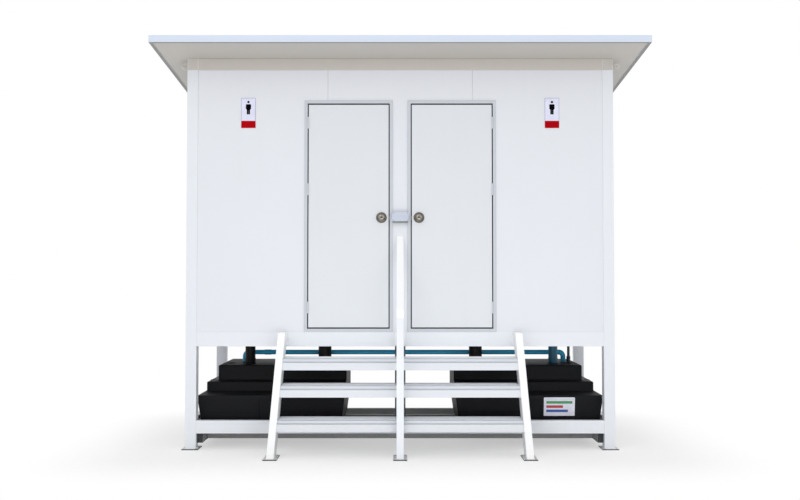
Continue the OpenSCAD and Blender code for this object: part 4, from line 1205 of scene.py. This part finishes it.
class CABIN_OT_rooms(Operator):
    """Deck, floor grates and the glazed squat pans."""

    bl_idname = "cabin.rooms"
    bl_label = "Rooms"

    # Height above the pan's base, half width, half length, corner radius and how far ahead of
    # the middle: down over the rim into the bowl and its outlet.
    BOWL = (
        (0.110, 0.088, 0.183, 0.068, 0.025), (0.107, 0.083, 0.178, 0.063, 0.025),
        (0.098, 0.080, 0.175, 0.060, 0.025), (0.062, 0.078, 0.173, 0.058, 0.025),
        (0.050, 0.070, 0.165, 0.050, 0.025), (0.046, 0.056, 0.150, 0.040, 0.022),
        (0.044, 0.041, 0.042, 0.0405, 0.0), (0.040, 0.038, 0.039, 0.0375, 0.0),
        (-0.058, 0.038, 0.039, 0.0375, 0.0), (-0.058, 0.050, 0.051, 0.0495, 0.0),
        (0.0, 0.051, 0.052, 0.0505, 0.0),
    )
    # Height, how far the outside is drawn in, and corner radius: from the foot to the rim.
    OUTSIDE = ((0.0, 0.004, 0.056), (0.004, 0.0, 0.060), (0.100, 0.0, 0.060),
               (0.107, 0.003, 0.057), (0.110, 0.010, 0.052))

    def execute(self, context):
        softened("floor_deck", "deck_board", 0.001)
        softened("floor_drains", "pin_steel", 0.0005, 1)
        for side in SIDES:
            self.pan(side)
        return {"FINISHED"}

    def pan(self, side):
        """Pan: rounded rectangles stacked up the outside, over the rim and down into the bowl,
        ending in the round outlet; the foot rests and their grips are rounded bars."""
        low, high = low_high(f"squat_pan_{side}")
        (x, y, _), (wide, long, _) = (low + high) / 2, (high - low) / 2
        base, rest_x = low[2] + 0.060, 0.155
        outside = [(z, wide - draw, long - draw, radius, 0.0) for z, draw, radius in self.OUTSIDE]
        rows = [*outside, *self.BOWL, outside[0]]
        shell = np.array([
            level_ring(rounded_ring(x - half_x, x + half_x, y - ahead - half_y,
                                    y - ahead + half_y, radius, 10, 4), base + z)
            for z, half_x, half_y, radius, ahead in rows])
        feet = [x + sign * rest_x for sign in SIDES.values()]
        rests = [bar((foot - 0.043, y - 0.155, base + 0.108),
                     (foot + 0.043, y + 0.095, base + 0.122), 0.006, 1) for foot in feet]
        grips = [bar((foot - 0.030, y - 0.135 + k * 0.02, base + 0.121),
                     (foot + 0.030, y - 0.127 + k * 0.02, base + 0.1235), 0.001, 0)
                 for foot in feet for k in range(11)]
        stand_in(f"squat_pan_{side}", f"squat_pan_{side}_glazed", [shell, *rests, *grips],
                 "pan_glaze", 50)


class CABIN_OT_stage(Operator):
    """Camera at the photograph's angle, pale floor, even sky and large soft lamps."""

    bl_idname = "cabin.stage"
    bl_label = "Studio"

    def execute(self, context):
        stage = settings()[2]
        scene = bpy.context.scene
        scene.view_settings.view_transform = "Standard"
        lens = bpy.data.cameras.new("studio_camera")
        lens.lens = stage.lens
        lens.sensor_width = 36.0
        camera = bpy.data.objects.new("studio_camera", lens)
        camera.location = (stage.aside, FRONT_Y - stage.distance, stage.eye)
        camera.rotation_euler = (math.pi / 2 + stage.pitch, 0.0, 0.0)
        scene.collection.objects.link(camera)
        scene.camera = camera
        self.sky(scene, stage.sky)
        self.floor(stage.ground, stage.shade)
        self.lamp("key_lamp", (-3.5, -7.5, 6.5), (0, 0, 1.6), (5.0, 5.0), stage.key)
        self.lamp("fill_lamp", (5.5, -6.0, 4.0), (0, 0, 1.5), (5.0, 5.0), stage.key * stage.fill)
        self.lamp("low_lamp", (0, -4.0, 0.17), (0, -0.6, 0.17), (3.2, 0.28), stage.low)
        return {"FINISHED"}

    def sky(self, scene, strength):
        """Even world light, with plain white behind the object for the camera and for gloss."""
        world = bpy.data.worlds.new("studio_sky")
        tree = bare_tree(world)
        light, plain = (add(tree, "ShaderNodeBackground", {"Color": WHITE, "Strength": power})
                        for power in (strength, 1.0))
        ray = add(tree, "ShaderNodeLightPath").outputs
        either = reckoned(tree, "MAXIMUM", ray["Is Camera Ray"], ray["Is Transmission Ray"])
        seen = reckoned(tree, "MAXIMUM", either, ray["Is Glossy Ray"])
        mix = add(tree, "ShaderNodeMixShader", {0: seen, 1: light.outputs[0], 2: plain.outputs[0]})
        add(tree, "ShaderNodeOutputWorld", {0: mix.outputs[0]})
        scene.world = world

    def floor(self, colour, shade):
        """Level square of ground: pale and shaded near the cabin, plain white far from it."""
        reach, half_cabin, near, far = 60.0, (2.0, 1.0, 0.0), 0.05, 1.1
        corners = np.array([[-1, -1, 0], [1, -1, 0], [1, 1, 0], [-1, 1, 0]]) * reach
        mesh = bpy.data.meshes.new("studio_floor")
        mesh.from_pydata(corners.tolist(), [], [[0, 1, 2, 3]])
        material = bpy.data.materials.new("studio_floor")
        tree = bare_tree(material)
        ground = add(tree, "ShaderNodeBsdfDiffuse", {"Color": (*colour, 1.0)})
        plain = add(tree, "ShaderNodeEmission", {"Color": WHITE, "Strength": 1.0})
        aside = vector(tree, "ABSOLUTE", add(tree, "ShaderNodeTexCoord").outputs["Object"])
        beyond = vector(tree, "SUBTRACT", aside, half_cabin)
        away = vector(tree, "LENGTH", vector(tree, "MAXIMUM", beyond, (0.0, 0.0, 0.0)), output="Value")
        white = spread(tree, away, near, far, to_low=shade, way="SMOOTHSTEP")
        seen = reckoned(tree, "MULTIPLY", white,
                        add(tree, "ShaderNodeLightPath").outputs["Is Camera Ray"])
        mix = add(tree, "ShaderNodeMixShader", {0: seen, 1: ground.outputs[0], 2: plain.outputs[0]})
        add(tree, "ShaderNodeOutputMaterial", {0: mix.outputs[0]})
        mesh.materials.append(material)
        floor = bpy.data.objects.new("studio_floor", mesh)
        bpy.context.scene.collection.objects.link(floor)

    def lamp(self, name, place, target, size, power):
        """Square or oblong lamp that looks at the target."""
        data = bpy.data.lights.new(name, "AREA")
        data.shape = "RECTANGLE"
        data.size, data.size_y = size
        data.energy = power
        lamp = bpy.data.objects.new(name, data)
        lamp.location = place
        way = unit(np.subtract(target, place))
        lamp.rotation_euler = (math.acos(-way[2]), 0.0, math.atan2(-way[0], way[1]))
        bpy.context.scene.collection.objects.link(lamp)


class CABIN_PT_panel(Panel):
    """Sidebar list of the cabin's pieces and settings."""

    bl_idname = "CABIN_PT_panel"
    bl_label = "Toilet Cabin"
    bl_space_type = "VIEW_3D"
    bl_region_type = "UI"
    bl_category = "Cabin"

    def draw(self, context):
        for group in settings():
            box = self.layout.box()
            for key in group.bl_rna.properties.keys():
                if key not in ("rna_type", "name"):
                    box.prop(group, key)
        for operator in OPERATORS:
            self.layout.operator(operator.bl_idname)


OPERATORS = (
    CABIN_OT_steel, CABIN_OT_walls, CABIN_OT_roof, CABIN_OT_doors, CABIN_OT_hinges,
    CABIN_OT_knobs, CABIN_OT_switch_box, CABIN_OT_signs, CABIN_OT_stairs, CABIN_OT_tanks,
    CABIN_OT_pipes, CABIN_OT_rooms, CABIN_OT_stage,
)
GROUP_CLASSES = {"cabin_colours": CabinColours, "cabin_sizes": CabinSizes, "cabin_stage": CabinStage}


def register():
    """Registers the property groups, operators and panel."""
    for name, group in GROUP_CLASSES.items():
        bpy.utils.register_class(group)
        setattr(bpy.types.Scene, name, PointerProperty(type=group))
    for operator in OPERATORS:
        bpy.utils.register_class(operator)
    bpy.utils.register_class(CABIN_PT_panel)


def unregister():
    """Takes back everything that register adds."""
    bpy.utils.unregister_class(CABIN_PT_panel)
    for operator in reversed(OPERATORS):
        bpy.utils.unregister_class(operator)
    for name, group in GROUP_CLASSES.items():
        delattr(bpy.types.Scene, name)
        bpy.utils.unregister_class(group)


def main():
    """Builds every piece in order."""
    register()
    for operator in OPERATORS:
        family, action = operator.bl_idname.split(".")
        getattr(getattr(bpy.ops, family), action)()


if __name__ == "__main__":
    main()
